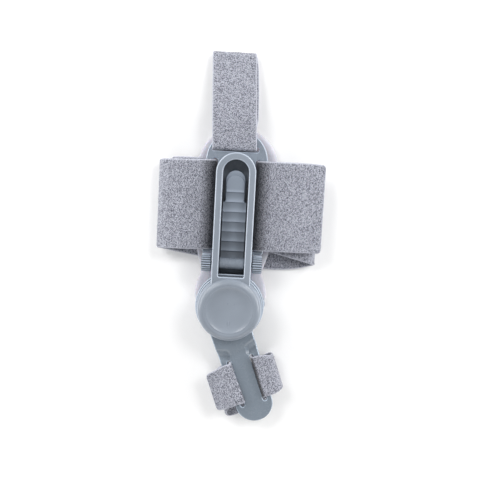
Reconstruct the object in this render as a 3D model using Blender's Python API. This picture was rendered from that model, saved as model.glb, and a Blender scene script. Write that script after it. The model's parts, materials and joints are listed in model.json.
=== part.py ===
"""Bunion corrector: a foot splint with a pad, a plastic frame, a swinging toe arm and three fabric straps.

It lies on its back on a flat surface. X is across the frame, Y runs along it to the heel strap and Z is up.
The origin is on that surface, under the middle of the foot strap's slots.
"""

import math

import bmesh
import bpy
from mathutils import Vector

MM = 0.001
CLEARANCE = 0.3 * MM
STRAP_BEND = 1.2 * MM

# Foot strap, a wide loop fabric
FOOT_STRAP_WIDTH = 51 * MM
FOOT_STRAP_THICKNESS = 1.8 * MM
LEFT_FOLD_REACH = 44 * MM
RIGHT_FOLD_REACH = 48 * MM
FREE_END_REACH = 50.3 * MM

# Heel strap, a closed loop
HEEL_STRAP_WIDTH = 25 * MM
HEEL_STRAP_THICKNESS = 1.6 * MM
HEEL_FOLD_REACH = 86 * MM
HEEL_STRAP_SHIFT = -1.65 * MM
HEEL_STRAP_LEAN = math.radians(2.9)

# Toe strap, across the toe arm
TOE_STRAP_WIDTH = 25 * MM
TOE_STRAP_THICKNESS = 1.4 * MM
TOE_FOLD_REACH = 19 * MM
TOE_FREE_END_REACH = 22 * MM

# Pad
PAD_THICKNESS = 4.4 * MM
PAD_TOP_RADIUS = 23.4 * MM
PAD_TOP_CENTRE = 21.2 * MM
PAD_LOBE_RADIUS = 21.2 * MM
PAD_LOBE_CENTRE = -51.8 * MM
PAD_WAIST_HALF_WIDTH = 18.1 * MM
PAD_ROUNDING = 1.6 * MM

# Base frame
PLATE_THICKNESS = 2.6 * MM
PLATE_EDGE = 0.5 * MM
PLATE_HALF_WIDTH = 17.4 * MM
PLATE_TOP_REACH = 42.4 * MM
RAIL_WIDTH = 3.6 * MM
SLOT_WIDTH = 3.2 * MM
SLOT_END_ROOM = 0.6 * MM
END_BRIDGE_WIDTH = 1.7 * MM
TROUGH_FLOOR = 1.2 * MM
TROUGH_SHOULDER = 0.2 * MM
HEEL_SLOT_HEIGHT = 2.9 * MM
HEEL_RIM_WIDTH = 9.3 * MM
HEEL_SLOT_START = PLATE_TOP_REACH - HEEL_RIM_WIDTH - HEEL_SLOT_HEIGHT
HEEL_SLOT_HALF_LENGTH = 13.5 * MM
HEEL_SLOT_SHIFT = -1.2 * MM
DISC_RADIUS = 19.8 * MM
DISC_THICKNESS = 3.4 * MM
DISC_EDGE = 0.4 * MM
LUG_RADIUS = 4.0 * MM
LUG_PROUD = 0.8 * MM
LUG_ANGLE = math.radians(8)

# Raised ring, neck and cap
RING_HALF_WIDTH = 11.15 * MM
RING_RAIL = 3.9 * MM
RING_TOP_REACH = HEEL_SLOT_START - CLEARANCE
RING_HEIGHT = 7.9 * MM
WINDOW_END = -40.1 * MM
WINDOW_CORNER = 0.9 * MM
RING_CHAMFER = 0.7 * MM
CROSS_BAR = 0.7 * MM
CROSS_BAR_DEPTH = 1.6 * MM
HUB_PLACE = -58.7 * MM
CAP_RADIUS = 18.3 * MM
CAP_RISE = 2.0 * MM
DISH_RADIUS = 13.3 * MM
DISH_DEPTH = 1.7 * MM
PIVOT_RADIUS = 4.0 * MM

# Thumb roller
ROLLER_PLACE = -32.9 * MM
KNURL_RADIUS = 5.2 * MM
KNURL_LENGTH = 5.6 * MM
KNURL_RIDGES = 22
KNURL_DEPTH = 0.45 * MM
KNURL_CHAMFER = 0.6 * MM
DRUM_RADIUS = 3.2 * MM
AXLE_RADIUS = 1.6 * MM
ROLLER_TOP_DROP = 0.2 * MM

# Ladder tongue
LADDER_HALF_WIDTH = 6.6 * MM
LADDER_TIP_HALF_WIDTH = 5.4 * MM
LADDER_TIP_REACH = 19.6 * MM
LADDER_LIP = 2.5 * MM
LADDER_SHOULDER = 1.8 * MM
LADDER_PLATE = 1.6 * MM
LADDER_TOOTH_HEIGHT = 1.0 * MM
LADDER_PITCH = 5.65 * MM
LADDER_FIRST_TOOTH = 7.6 * MM
LADDER_TEETH = 8
LADDER_TAIL = -39.3 * MM
LADDER_RISE = 4.6 * MM

# Toe arm, in its own frame: along -Y from the hub, then turned
ARM_ANGLE = math.radians(20.3)
ARM_OFFSET = -3.4 * MM
ARM_HUB_RADIUS = 19.0 * MM
ARM_HUB_THICKNESS = 2.8 * MM
ARM_TIP_PLACE = 59.2 * MM
ARM_TIP_RADIUS = 10.95 * MM
ARM_ROOT_HALF_WIDTH = 12.2 * MM
ARM_THICKNESS = 2.2 * MM
ARM_DROP_START = 20.0 * MM
ARM_DROP_END = 30.0 * MM
ARM_DROP = 2.3 * MM
ARM_CREASE_DEPTH = 0.6 * MM
ARM_CREASE_RUN = 4.0 * MM
ARM_SLOT_CENTRE = 45.4 * MM
ARM_SLOT_END_ROOM = 2.0 * MM
ARM_SLOT_INNER = 5.6 * MM
ARM_SLOT_WIDTH = 2.5 * MM

# Heights that the layers stack up to
PAD_BOTTOM = FOOT_STRAP_THICKNESS + CLEARANCE
PAD_TOP = PAD_BOTTOM + PAD_THICKNESS
BASE_BOTTOM = PAD_TOP + CLEARANCE
UNDER_RAIL_ROOM = 0.6 * MM
PLATE_BOTTOM = BASE_BOTTOM + UNDER_RAIL_ROOM + FOOT_STRAP_THICKNESS + CLEARANCE
PLATE_TOP = PLATE_BOTTOM + PLATE_THICKNESS
TROUGH_TOP = PLATE_TOP + TROUGH_SHOULDER
CHANNEL_FLOOR = BASE_BOTTOM + TROUGH_FLOOR
RING_BOTTOM = TROUGH_TOP + CLEARANCE
RING_TOP = RING_BOTTOM + RING_HEIGHT
DISC_TOP = BASE_BOTTOM + DISC_THICKNESS
ARM_HUB_BOTTOM = DISC_TOP + CLEARANCE
ARM_HUB_TOP = ARM_HUB_BOTTOM + ARM_HUB_THICKNESS
CAP_BOTTOM = ARM_HUB_TOP + CLEARANCE
CAP_TOP = RING_TOP + CAP_RISE
ROLLER_HEIGHT = RING_TOP - ROLLER_TOP_DROP - KNURL_RADIUS

# Places across the frame
RAIL_OUTER = PLATE_HALF_WIDTH
RAIL_INNER = RAIL_OUTER - RAIL_WIDTH
SLOT_INNER = RAIL_INNER - SLOT_WIDTH
WINDOW_HALF_WIDTH = RING_HALF_WIDTH - RING_RAIL
SLOT_HALF_LENGTH = FOOT_STRAP_WIDTH / 2 + SLOT_END_ROOM
PLATE_END = SLOT_HALF_LENGTH + END_BRIDGE_WIDTH

ARC_STEPS = 20
ROUND_STEPS = 56


def clear_scene():
    """Removes what the scene holds."""
    for old in list(bpy.data.objects):
        bpy.data.objects.remove(old, do_unlink=True)


def make_material(name, colour, roughness, metallic=0.0):
    """Returns a Principled material."""
    material = bpy.data.materials.new(name)
    material.use_nodes = True
    shader = material.node_tree.nodes["Principled BSDF"]
    shader.inputs["Base Color"].default_value = (*colour, 1.0)
    shader.inputs["Roughness"].default_value = roughness
    shader.inputs["Metallic"].default_value = metallic
    material.diffuse_color = (*colour, 1.0)
    return material


def add_mesh(name, points, faces, material=None, smooth=False):
    """Returns a new object whose faces point outwards."""
    mesh = bpy.data.meshes.new(name)
    mesh.from_pydata([tuple(p) for p in points], [], faces)
    work = bmesh.new()
    work.from_mesh(mesh)
    bmesh.ops.recalc_face_normals(work, faces=work.faces)
    work.to_mesh(mesh)
    work.free()
    if smooth:
        mesh.shade_smooth()
        mesh.set_sharp_from_angle(angle=math.radians(35))
    if material:
        mesh.materials.append(material)
    piece = bpy.data.objects.new(name, mesh)
    bpy.context.collection.objects.link(piece)
    return piece


def skin_rings(rings, closed=False):
    """Returns points and faces of a skin through rings of equal count; an open run of rings gets end caps."""
    count = len(rings[0])
    points = [p for ring in rings for p in ring]
    faces = []
    spans = len(rings) if closed else len(rings) - 1
    for r in range(spans):
        here = r * count
        there = (r + 1) % len(rings) * count
        for i in range(count):
            j = (i + 1) % count
            faces.append((here + i, here + j, there + j, there + i))
    if not closed:
        faces.append(tuple(range(count)))
        faces.append(tuple(range((len(rings) - 1) * count, len(rings) * count)))
    return points, faces


def arc(centre, radius, start, end, steps):
    """Returns points of an arc, with angles in degrees."""
    points = []
    for k in range(steps + 1):
        angle = math.radians(start + (end - start) * k / steps)
        points.append((centre[0] + radius * math.cos(angle), centre[1] + radius * math.sin(angle)))
    return points


def rectangle(x_low, x_high, y_low, y_high):
    """Returns a rectangle's corners, counter-clockwise."""
    return [(x_low, y_low), (x_high, y_low), (x_high, y_high), (x_low, y_high)]


def offset_outline(outline, distance):
    """Returns a counter-clockwise outline moved outwards by distance."""
    moved = []
    count = len(outline)
    for i in range(count):
        before = Vector(outline[i - 1])
        here = Vector(outline[i])
        after = Vector(outline[(i + 1) % count])
        first = (here - before).normalized()
        second = (after - here).normalized()
        normal_one = Vector((first.y, -first.x))
        normal_two = Vector((second.y, -second.x))
        middle = (normal_one + normal_two).normalized()
        reach = distance / max(middle.dot(normal_one), 0.3)
        moved.append(tuple(here + middle * reach))
    return moved


def prism(name, outline, levels, material=None, smooth=False):
    """Returns a solid that stands on an outline. Levels has rows of height and outward offset, going up."""
    rings = []
    for height, offset in levels:
        moved = offset_outline(outline, offset) if offset else outline
        rings.append([(x, y, height) for x, y in moved])
    points, faces = skin_rings(rings)
    return add_mesh(name, points, faces, material, smooth)


def turned(name, profile, centre, material=None, steps=ROUND_STEPS):
    """Returns a solid turned round a vertical axis. Profile has rows of radius and height."""
    points = []
    rows = []
    for radius, height in profile:
        if radius == 0:
            rows.append([len(points)])
            points.append((centre[0], centre[1], height))
            continue
        rows.append(list(range(len(points), len(points) + steps)))
        for k in range(steps):
            angle = 2 * math.pi * k / steps
            across = radius * math.cos(angle)
            points.append((centre[0] + across, centre[1] + radius * math.sin(angle), height))
    faces = []
    for lower, upper in zip(rows, rows[1:]):
        for k in range(steps):
            n = (k + 1) % steps
            if len(lower) == 1:
                faces.append((lower[0], upper[n], upper[k]))
            elif len(upper) == 1:
                faces.append((lower[k], lower[n], upper[0]))
            else:
                faces.append((lower[k], lower[n], upper[n], upper[k]))
    return add_mesh(name, points, faces, material, smooth=True)


def rod_profile(radius, bottom, top):
    """Returns the profile of a plain rod."""
    return (0, bottom), (radius, bottom), (radius, top), (0, top)


def disc_profile(radius, bottom, top):
    """Returns the profile of a disc whose upper edge is broken."""
    return (0, bottom), (radius, bottom), (radius, top - DISC_EDGE), (radius - DISC_EDGE, top), (0, top)


def combine(target, helper, operation):
    """Joins a helper to a target, or cuts with it, and hides the helper."""
    helper.hide_render = True
    helper.display_type = "WIRE"
    step = target.modifiers.new(helper.name, "BOOLEAN")
    step.operation = operation
    step.solver = "EXACT"
    step.object = helper


def slot_outline(x_low, x_high, y_low, y_high):
    """Returns a long slot's outline with round ends, along Y or X, whichever is longer."""
    width = x_high - x_low
    height = y_high - y_low
    if height > width:
        radius = width / 2
        middle = (x_low + x_high) / 2
        lower = arc((middle, y_low + radius), radius, 180, 360, 8)
        return lower + arc((middle, y_high - radius), radius, 0, 180, 8)
    radius = height / 2
    middle = (y_low + y_high) / 2
    left = arc((x_low + radius, middle), radius, 90, 270, 8)
    return left + arc((x_high - radius, middle), radius, -90, 90, 8)


def smooth_rows(rows, steps, closed=False):
    """Returns rows read from a smooth curve through the given rows."""
    count = len(rows)
    rows = [Vector(row) for row in rows]
    result = []
    spans = count if closed else count - 1
    for i in range(spans):
        if closed:
            p0, p1, p2, p3 = (rows[(i + k) % count] for k in (-1, 0, 1, 2))
        else:
            p1, p2 = rows[i], rows[i + 1]
            p0 = rows[i - 1] if i else p1 + (p1 - p2)
            p3 = rows[i + 2] if i + 2 < count else p2 + (p2 - p1)
        t0 = 0.0
        t1 = t0 + math.sqrt((p1 - p0).xyz.length)
        t2 = t1 + math.sqrt((p2 - p1).xyz.length)
        t3 = t2 + math.sqrt((p3 - p2).xyz.length)
        for k in range(steps):
            t = t1 + (t2 - t1) * k / steps
            a1 = p0 * ((t1 - t) / (t1 - t0)) + p1 * ((t - t0) / (t1 - t0))
            a2 = p1 * ((t2 - t) / (t2 - t1)) + p2 * ((t - t1) / (t2 - t1))
            a3 = p2 * ((t3 - t) / (t3 - t2)) + p3 * ((t - t2) / (t3 - t2))
            b1 = a1 * ((t2 - t) / (t2 - t0)) + a2 * ((t - t0) / (t2 - t0))
            b2 = a2 * ((t3 - t) / (t3 - t1)) + a3 * ((t - t1) / (t3 - t1))
            result.append(b1 * ((t2 - t) / (t2 - t1)) + b2 * ((t - t1) / (t2 - t1)))
    if not closed:
        result.append(rows[-1])
    return result


def ribbon(name, rows, width, thickness, along, material, closed=False, steps=4):
    """Returns a flat strap. Rows hold run, height, sideways shift of its middle and share of its width.

    along is 0 where the strap runs along X and 1 where it runs along Y; its width lies across that.
    """
    path = smooth_rows(rows, steps, closed)
    count = len(path)
    rings = []
    for i, (run, height, shift, share) in enumerate(path):
        height = max(height, thickness / 2)
        before = path[i - 1] if closed or i else path[0]
        after = path[(i + 1) % count] if closed or i + 1 < count else path[-1]
        direction = Vector((after[0] - before[0], after[1] - before[1])).normalized()
        normal = Vector((-direction.y, direction.x)) * thickness / 2
        ring = []
        for side, half in ((1, -1), (1, 1), (-1, 1), (-1, -1)):
            place = [0.0, 0.0, height + normal.y * side]
            place[along] = run + normal.x * side
            place[1 - along] = shift + half * share * width / 2
            ring.append(tuple(place))
        rings.append(ring)
    points, faces = skin_rings(rings, closed)
    return add_mesh(name, points, faces, material, smooth=True)


def strap_rows(table, reach, lowest, highest, width):
    """Returns strap rows from a table of shares of the reach, the height, the width and the width again."""
    rows = []
    for run, height, shift, share in table:
        rows.append((run * reach, lowest + height * (highest - lowest), shift * width, share))
    return rows


def rail_wrap(sign, slot, rail, under, over, shift):
    """Returns rows that take a strap from under a rail, up through its slot and back over the rail."""
    bend = STRAP_BEND
    turn = (
        (rail, under),
        (slot + bend, under),
        (slot + 0.3 * bend, under + 0.3 * bend),
        (slot, under + bend),
        (slot, over - bend),
        (slot + 0.3 * bend, over - 0.3 * bend),
        (slot + bend, over),
        (rail, over),
    )
    return [(sign * across, height, shift, 1.0) for across, height in turn]


def make_pad(material):
    """Guitar-shaped soft pad with rounded edges."""
    # share of the way from the top arc's centre to the lobe's centre, and half width
    side_rows = (
        (0.00, PAD_TOP_RADIUS),
        (0.18, PAD_TOP_RADIUS * 0.995),
        (0.40, PAD_TOP_RADIUS * 0.975),
        (0.62, PAD_TOP_RADIUS * 0.935),
        (0.74, PAD_WAIST_HALF_WIDTH * 1.10),
        (0.83, PAD_WAIST_HALF_WIDTH),
        (0.92, PAD_LOBE_RADIUS * 0.955),
        (1.00, PAD_LOBE_RADIUS),
    )
    run = PAD_TOP_CENTRE - PAD_LOBE_CENTRE
    left = [(-half, PAD_TOP_CENTRE - share * run) for share, half in side_rows]
    left = [(p.x, p.y) for p in smooth_rows([(x, y, 0) for x, y in left], 3)]
    right = [(-x, y) for x, y in reversed(left)]
    upper = arc((0, PAD_TOP_CENTRE), PAD_TOP_RADIUS, 0, 180, ARC_STEPS)
    lower = arc((0, PAD_LOBE_CENTRE), PAD_LOBE_RADIUS, 180, 360, ARC_STEPS)
    outline = upper[:-1] + left[:-1] + lower[:-1] + right[:-1]
    rounding = [(PAD_ROUNDING * (1 - b), PAD_ROUNDING * (1 - a)) for a, b in arc((0, 0), 1, 0, 90, 4)]
    levels = [(PAD_BOTTOM + rise, -inset) for rise, inset in reversed(rounding)]
    levels += [(PAD_TOP - rise, -inset) for rise, inset in rounding]
    return prism("pad", outline, levels, material, smooth=True)


def make_base_frame(material):
    """Plate with slots, channel and bearing disc."""
    corner = 1.5 * MM
    side = PLATE_HALF_WIDTH
    arc_centre = PLATE_TOP_REACH - side
    outline = arc((0, arc_centre), side, 0, 180, ARC_STEPS)
    outline += arc((-side + corner, -PLATE_END + corner), corner, 180, 270, 4)
    outline += arc((side - corner, -PLATE_END + corner), corner, 270, 360, 4)
    levels = ((PLATE_BOTTOM, 0), (PLATE_TOP - PLATE_EDGE, 0), (PLATE_TOP, -PLATE_EDGE))
    base = prism("base_frame", outline, levels, material)

    trough_half = SLOT_INNER + CLEARANCE
    trough_end = HUB_PLACE + PIVOT_RADIUS
    trough_start = HEEL_SLOT_START - 0.8 * MM
    box = rectangle(-trough_half, trough_half, trough_end, trough_start)
    combine(base, prism("trough_body", box, ((BASE_BOTTOM, 0), (TROUGH_TOP, 0))), "UNION")

    hub = (0, HUB_PLACE)
    disc = disc_profile(DISC_RADIUS, BASE_BOTTOM, DISC_TOP)
    combine(base, turned("bearing_disc", disc, hub), "UNION")
    lug_place = DISC_RADIUS + LUG_PROUD - LUG_RADIUS
    lug_centre = (lug_place * math.cos(LUG_ANGLE), HUB_PLACE + lug_place * math.sin(LUG_ANGLE))
    lug = disc_profile(LUG_RADIUS, BASE_BOTTOM + DISC_EDGE, DISC_TOP - DISC_EDGE)
    combine(base, turned("stop_lug", lug, lug_centre, steps=32), "UNION")

    over = 1 * MM
    for name, sign in (("left_slot", -1), ("right_slot", 1)):
        low, high = sorted((sign * SLOT_INNER, sign * RAIL_INNER))
        cut = slot_outline(low, high, -SLOT_HALF_LENGTH, SLOT_HALF_LENGTH)
        combine(base, prism(name, cut, ((BASE_BOTTOM - over, 0), (TROUGH_TOP + over, 0))), "DIFFERENCE")
    low = HEEL_SLOT_SHIFT - HEEL_SLOT_HALF_LENGTH
    high = HEEL_SLOT_SHIFT + HEEL_SLOT_HALF_LENGTH
    cut = slot_outline(low, high, HEEL_SLOT_START, HEEL_SLOT_START + HEEL_SLOT_HEIGHT)
    combine(base, prism("heel_slot", cut, ((BASE_BOTTOM - over, 0), (TROUGH_TOP + over, 0))), "DIFFERENCE")

    top_centre = RING_TOP_REACH - RING_HALF_WIDTH
    channel = arc((0, top_centre), WINDOW_HALF_WIDTH, 0, 180, ARC_STEPS)
    channel_end = LADDER_TAIL - 1.2 * MM
    channel += [(-WINDOW_HALF_WIDTH, channel_end), (WINDOW_HALF_WIDTH, channel_end)]
    combine(base, prism("channel", channel, ((CHANNEL_FLOOR, 0), (TROUGH_TOP + over, 0))), "DIFFERENCE")
    reach = ARM_HUB_RADIUS + 0.4 * MM
    room = rod_profile(reach, DISC_TOP, TROUGH_TOP + over)
    combine(base, turned("arm_room", room, hub), "DIFFERENCE")
    return base


def make_bridge_cap(material):
    """Ring, neck and dished cap in one piece, with the pivot boss under the cap."""
    top_centre = RING_TOP_REACH - RING_HALF_WIDTH
    outline = arc((0, top_centre), RING_HALF_WIDTH, 0, 180, ARC_STEPS)
    outline += [(-RING_HALF_WIDTH, HUB_PLACE + PIVOT_RADIUS), (RING_HALF_WIDTH, HUB_PLACE + PIVOT_RADIUS)]
    levels = ((RING_BOTTOM, 0), (RING_TOP - RING_CHAMFER, 0), (RING_TOP, -RING_CHAMFER))
    bridge = prism("bridge_cap", outline, levels, material)

    over = 1 * MM
    hub = (0, HUB_PLACE)
    reach = DISC_RADIUS + CLEARANCE
    room = rod_profile(reach, RING_BOTTOM - over, CAP_BOTTOM)
    combine(bridge, turned("hub_room", room, hub), "DIFFERENCE")

    floor = CAP_TOP - DISH_DEPTH
    shoulder = CAP_RADIUS - DISH_RADIUS
    # radius and height, from the pivot boss round the skirt to the middle of the dish
    profile = (
        (0, ARM_HUB_BOTTOM),
        (PIVOT_RADIUS, ARM_HUB_BOTTOM),
        (PIVOT_RADIUS, CAP_BOTTOM),
        (CAP_RADIUS, CAP_BOTTOM),
        (CAP_RADIUS, CAP_TOP - 0.80 * shoulder),
        (CAP_RADIUS - 0.05 * shoulder, CAP_TOP - 0.55 * shoulder),
        (CAP_RADIUS - 0.20 * shoulder, CAP_TOP - 0.29 * shoulder),
        (CAP_RADIUS - 0.42 * shoulder, CAP_TOP - 0.10 * shoulder),
        (CAP_RADIUS - 0.68 * shoulder, CAP_TOP),
        (DISH_RADIUS + 0.12 * shoulder, CAP_TOP - 0.03 * shoulder),
        (0.965 * DISH_RADIUS, CAP_TOP - 0.35 * DISH_DEPTH),
        (0.90 * DISH_RADIUS, floor + 0.28 * DISH_DEPTH),
        (0.78 * DISH_RADIUS, floor + 0.08 * DISH_DEPTH),
        (0.50 * DISH_RADIUS, floor),
        (0, floor),
    )
    combine(bridge, turned("cap_body", profile, hub), "UNION")

    window = arc((0, top_centre), WINDOW_HALF_WIDTH, 0, 180, ARC_STEPS)
    corner = WINDOW_CORNER
    half = WINDOW_HALF_WIDTH - corner
    window += arc((-half, WINDOW_END + corner), corner, 180, 270, 4)
    window += arc((half, WINDOW_END + corner), corner, 270, 360, 4)
    bevel = RING_CHAMFER * 0.7
    levels = ((RING_BOTTOM - over, 0), (RING_TOP - bevel, 0), (RING_TOP + over, bevel + over))
    combine(bridge, prism("window", window, levels), "DIFFERENCE")

    low = WINDOW_END + CROSS_BAR
    reach = WINDOW_HALF_WIDTH + 0.5 * RING_RAIL
    bar = rectangle(-reach, reach, low, low + CROSS_BAR)
    bar_top = RING_TOP - CROSS_BAR_DEPTH
    combine(bridge, prism("cross_bar", bar, ((bar_top - 1.5 * CROSS_BAR, 0), (bar_top, 0))), "UNION")

    hole = AXLE_RADIUS + CLEARANCE
    reach = RING_HALF_WIDTH + over
    rings = []
    for x in (-reach, reach):
        rings.append([(x, ROLLER_PLACE + a, ROLLER_HEIGHT + b) for a, b in arc((0, 0), hole, 0, 345, 23)])
    points, faces = skin_rings(rings)
    combine(bridge, add_mesh("axle_holes", points, faces), "DIFFERENCE")
    return bridge


def make_thumb_roller(material):
    """Roller along X, with ridged ends and a plain drum. Its object stands on its axis."""
    inner = RING_HALF_WIDTH + 1.5 * CLEARANCE
    outer = inner + KNURL_LENGTH
    drum_end = WINDOW_HALF_WIDTH - CLEARANCE
    # place along the axis, radius and ridge depth, for the right half from the middle out
    half_rows = (
        (drum_end, DRUM_RADIUS, 0),
        (drum_end, AXLE_RADIUS, 0),
        (inner, AXLE_RADIUS, 0),
        (inner, KNURL_RADIUS - KNURL_CHAMFER, 0.4 * KNURL_DEPTH),
        (inner + 0.5 * KNURL_CHAMFER, KNURL_RADIUS, KNURL_DEPTH),
        (outer - KNURL_CHAMFER, KNURL_RADIUS, KNURL_DEPTH),
        (outer, KNURL_RADIUS - KNURL_CHAMFER, 0.4 * KNURL_DEPTH),
    )
    rows = [(-x, radius, depth) for x, radius, depth in reversed(half_rows)] + list(half_rows)
    sides = 2 * KNURL_RIDGES
    rings = []
    for x, radius, depth in rows:
        ring = []
        for k in range(sides):
            angle = 2 * math.pi * k / sides
            here = radius - (depth if k % 2 else 0)
            ring.append((x, here * math.cos(angle), here * math.sin(angle)))
        rings.append(ring)
    points, faces = skin_rings(rings)
    roller = add_mesh("thumb_roller", points, faces, material)
    roller.location = (0, ROLLER_PLACE, ROLLER_HEIGHT)
    return roller


def make_ladder_tongue(material):
    """Sloping tongue with sawtooth ribs, whose crests pass just under the drum."""
    run = LADDER_TIP_REACH - ROLLER_PLACE
    slope = math.atan2(LADDER_RISE, run)
    crest_under_drum = ROLLER_HEIGHT - (DRUM_RADIUS + CLEARANCE) / math.cos(slope)
    stretch = 1 / math.cos(slope)

    def outline_to(tip):
        """Plan outline of the tongue up to a round tip, measured from the drum."""
        radius = LADDER_TIP_HALF_WIDTH
        end = (LADDER_TAIL - ROLLER_PLACE) * stretch
        shoulder = (LADDER_FIRST_TOOTH - LADDER_PITCH + 0.8 * MM - ROLLER_PLACE) * stretch
        wide = LADDER_HALF_WIDTH
        shape = [(-wide, end), (wide, end), (wide, shoulder - LADDER_SHOULDER), (radius, shoulder)]
        shape += arc((0, (tip - ROLLER_PLACE) * stretch - radius), radius, 0, 180, ARC_STEPS)
        return shape + [(-radius, shoulder), (-wide, shoulder - LADDER_SHOULDER)]

    plate_top = -LADDER_TOOTH_HEIGHT
    plate_bottom = plate_top - LADDER_PLATE
    levels = ((plate_bottom, 0), (plate_top, 0))
    ladder = prism("ladder_tongue", outline_to(LADDER_TIP_REACH), levels, material)

    # side view of the ribs: each rises towards the tail and drops steeply
    tip = (LADDER_TIP_REACH - LADDER_LIP - ROLLER_PLACE) * stretch
    side = [(tip + 1 * MM, plate_top - 0.5 * MM), (tip + 1 * MM, -0.25 * LADDER_TOOTH_HEIGHT)]
    for k in range(LADDER_TEETH):
        foot = (LADDER_FIRST_TOOTH - k * LADDER_PITCH - ROLLER_PLACE) * stretch
        side.append((foot + 0.25 * MM, 0.0))
        side.append((foot - 0.15 * MM, -0.85 * LADDER_TOOTH_HEIGHT))
    last = side[-1][0]
    side.append((last - 0.3 * MM, plate_top - 0.5 * MM))
    wide = LADDER_HALF_WIDTH + 1 * MM
    rings = [[(x, y, z) for y, z in side] for x in (-wide, wide)]
    points, faces = skin_rings(rings)
    ribs = add_mesh("ribs", points, faces)
    trim = prism("rib_trim", outline_to(LADDER_TIP_REACH - LADDER_LIP), ((plate_bottom, 0), (1 * MM, 0)))
    combine(ribs, trim, "INTERSECT")
    combine(ladder, ribs, "UNION")
    for piece in (ladder, ribs, trim):
        piece.location = (0, ROLLER_PLACE, crest_under_drum)
        piece.rotation_euler = (slope, 0, 0)
    return ladder


def arm_half_width(along):
    """Half width of the toe arm at a distance from the hub."""
    beyond = along - ARM_TIP_PLACE
    if beyond > 0:
        return math.sqrt(max(ARM_TIP_RADIUS**2 - beyond**2, 0))
    share = along / ARM_TIP_PLACE
    return ARM_ROOT_HALF_WIDTH + (ARM_TIP_RADIUS - ARM_ROOT_HALF_WIDTH) * share


def ease(value, start, end):
    """Goes smoothly from 0 at start to 1 at end."""
    share = min(max((value - start) / (end - start), 0), 1)
    return share * share * (3 - 2 * share)


def arm_top(along):
    """Height of the arm's middle bar at a distance from the hub."""
    return ARM_HUB_TOP - ARM_DROP * ease(along, ARM_DROP_START, ARM_DROP_END)


ARM_SLOT_HALF_LENGTH = TOE_STRAP_WIDTH / 2 + ARM_SLOT_END_ROOM
ARM_SLOT_START = ARM_SLOT_CENTRE - ARM_SLOT_HALF_LENGTH
ARM_RAIL_TOP = ARM_HUB_TOP - ARM_DROP
ARM_RAIL_BOTTOM = ARM_RAIL_TOP - ARM_THICKNESS


def make_toe_arm(material, axis):
    """Hub ring and flat blade, with a crease across each side rail just before its slot."""
    half = ARM_SLOT_INNER + ARM_SLOT_WIDTH
    crease = ARM_SLOT_START - 0.4 * ARM_CREASE_RUN
    stations = [ARM_HUB_RADIUS * share for share in (0.45, 0.75, 0.98)]
    drops = 6
    stations += [ARM_DROP_START + (ARM_DROP_END - ARM_DROP_START) * k / drops for k in range(drops + 1)]
    stations += [crease + ARM_CREASE_RUN, ARM_SLOT_CENTRE, ARM_TIP_PLACE - 1 * MM]
    turns = (0, 15, 30, 45, 57, 68, 78, 85)
    stations += [ARM_TIP_PLACE + ARM_TIP_RADIUS * math.sin(math.radians(a)) for a in turns]
    rings = []
    for along in stations:
        wide = arm_half_width(along)
        drop = ARM_CREASE_DEPTH * ease(along, crease - ARM_CREASE_RUN, crease)
        drop *= 1 - ease(along, crease, crease + ARM_CREASE_RUN)
        top = arm_top(along)
        thinned = ease(along, ARM_DROP_START, ARM_DROP_END)
        thick = ARM_HUB_THICKNESS + (ARM_THICKNESS - ARM_HUB_THICKNESS) * thinned
        inner = min(ARM_SLOT_INNER, 0.55 * wide)
        middle = min(half, 0.8 * wide)
        soft = min(0.5 * MM, 0.2 * wide)
        upper = [
            (-wide, top - drop - soft),
            (-wide + soft, top - drop),
            (-middle, top - drop),
            (-inner, top),
            (inner, top),
            (middle, top - drop),
            (wide - soft, top - drop),
            (wide, top - drop - soft),
        ]
        lower = [(wide, top - drop - thick), (middle, top - drop - thick), (inner, top - thick)]
        lower += [(-inner, top - thick), (-middle, top - drop - thick), (-wide, top - drop - thick)]
        rings.append([(ARM_OFFSET + across, -along, height) for across, height in upper + lower])
    points, faces = skin_rings(rings)
    arm = add_mesh("toe_arm", points, faces, material, smooth=True)

    hub_disc = turned("hub_disc", disc_profile(ARM_HUB_RADIUS, ARM_HUB_BOTTOM, ARM_HUB_TOP), (0, 0))
    combine(arm, hub_disc, "UNION")
    over = 1 * MM
    bore = PIVOT_RADIUS + CLEARANCE
    hole = rod_profile(bore, ARM_HUB_BOTTOM - over, ARM_HUB_TOP + over)
    pivot_hole = turned("pivot_hole", hole, (0, 0), steps=40)
    combine(arm, pivot_hole, "DIFFERENCE")
    parts = [arm, hub_disc, pivot_hole]
    for name, sign in (("left_toe_slot", -1), ("right_toe_slot", 1)):
        low, high = sorted((ARM_OFFSET + sign * ARM_SLOT_INNER, ARM_OFFSET + sign * half))
        cut = slot_outline(low, high, -ARM_SLOT_START - 2 * ARM_SLOT_HALF_LENGTH, -ARM_SLOT_START)
        cutter = prism(name, cut, ((ARM_RAIL_BOTTOM - over, 0), (ARM_HUB_TOP + over, 0)))
        combine(arm, cutter, "DIFFERENCE")
        parts.append(cutter)
    for piece in parts:
        piece.parent = axis
    return arm


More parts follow.
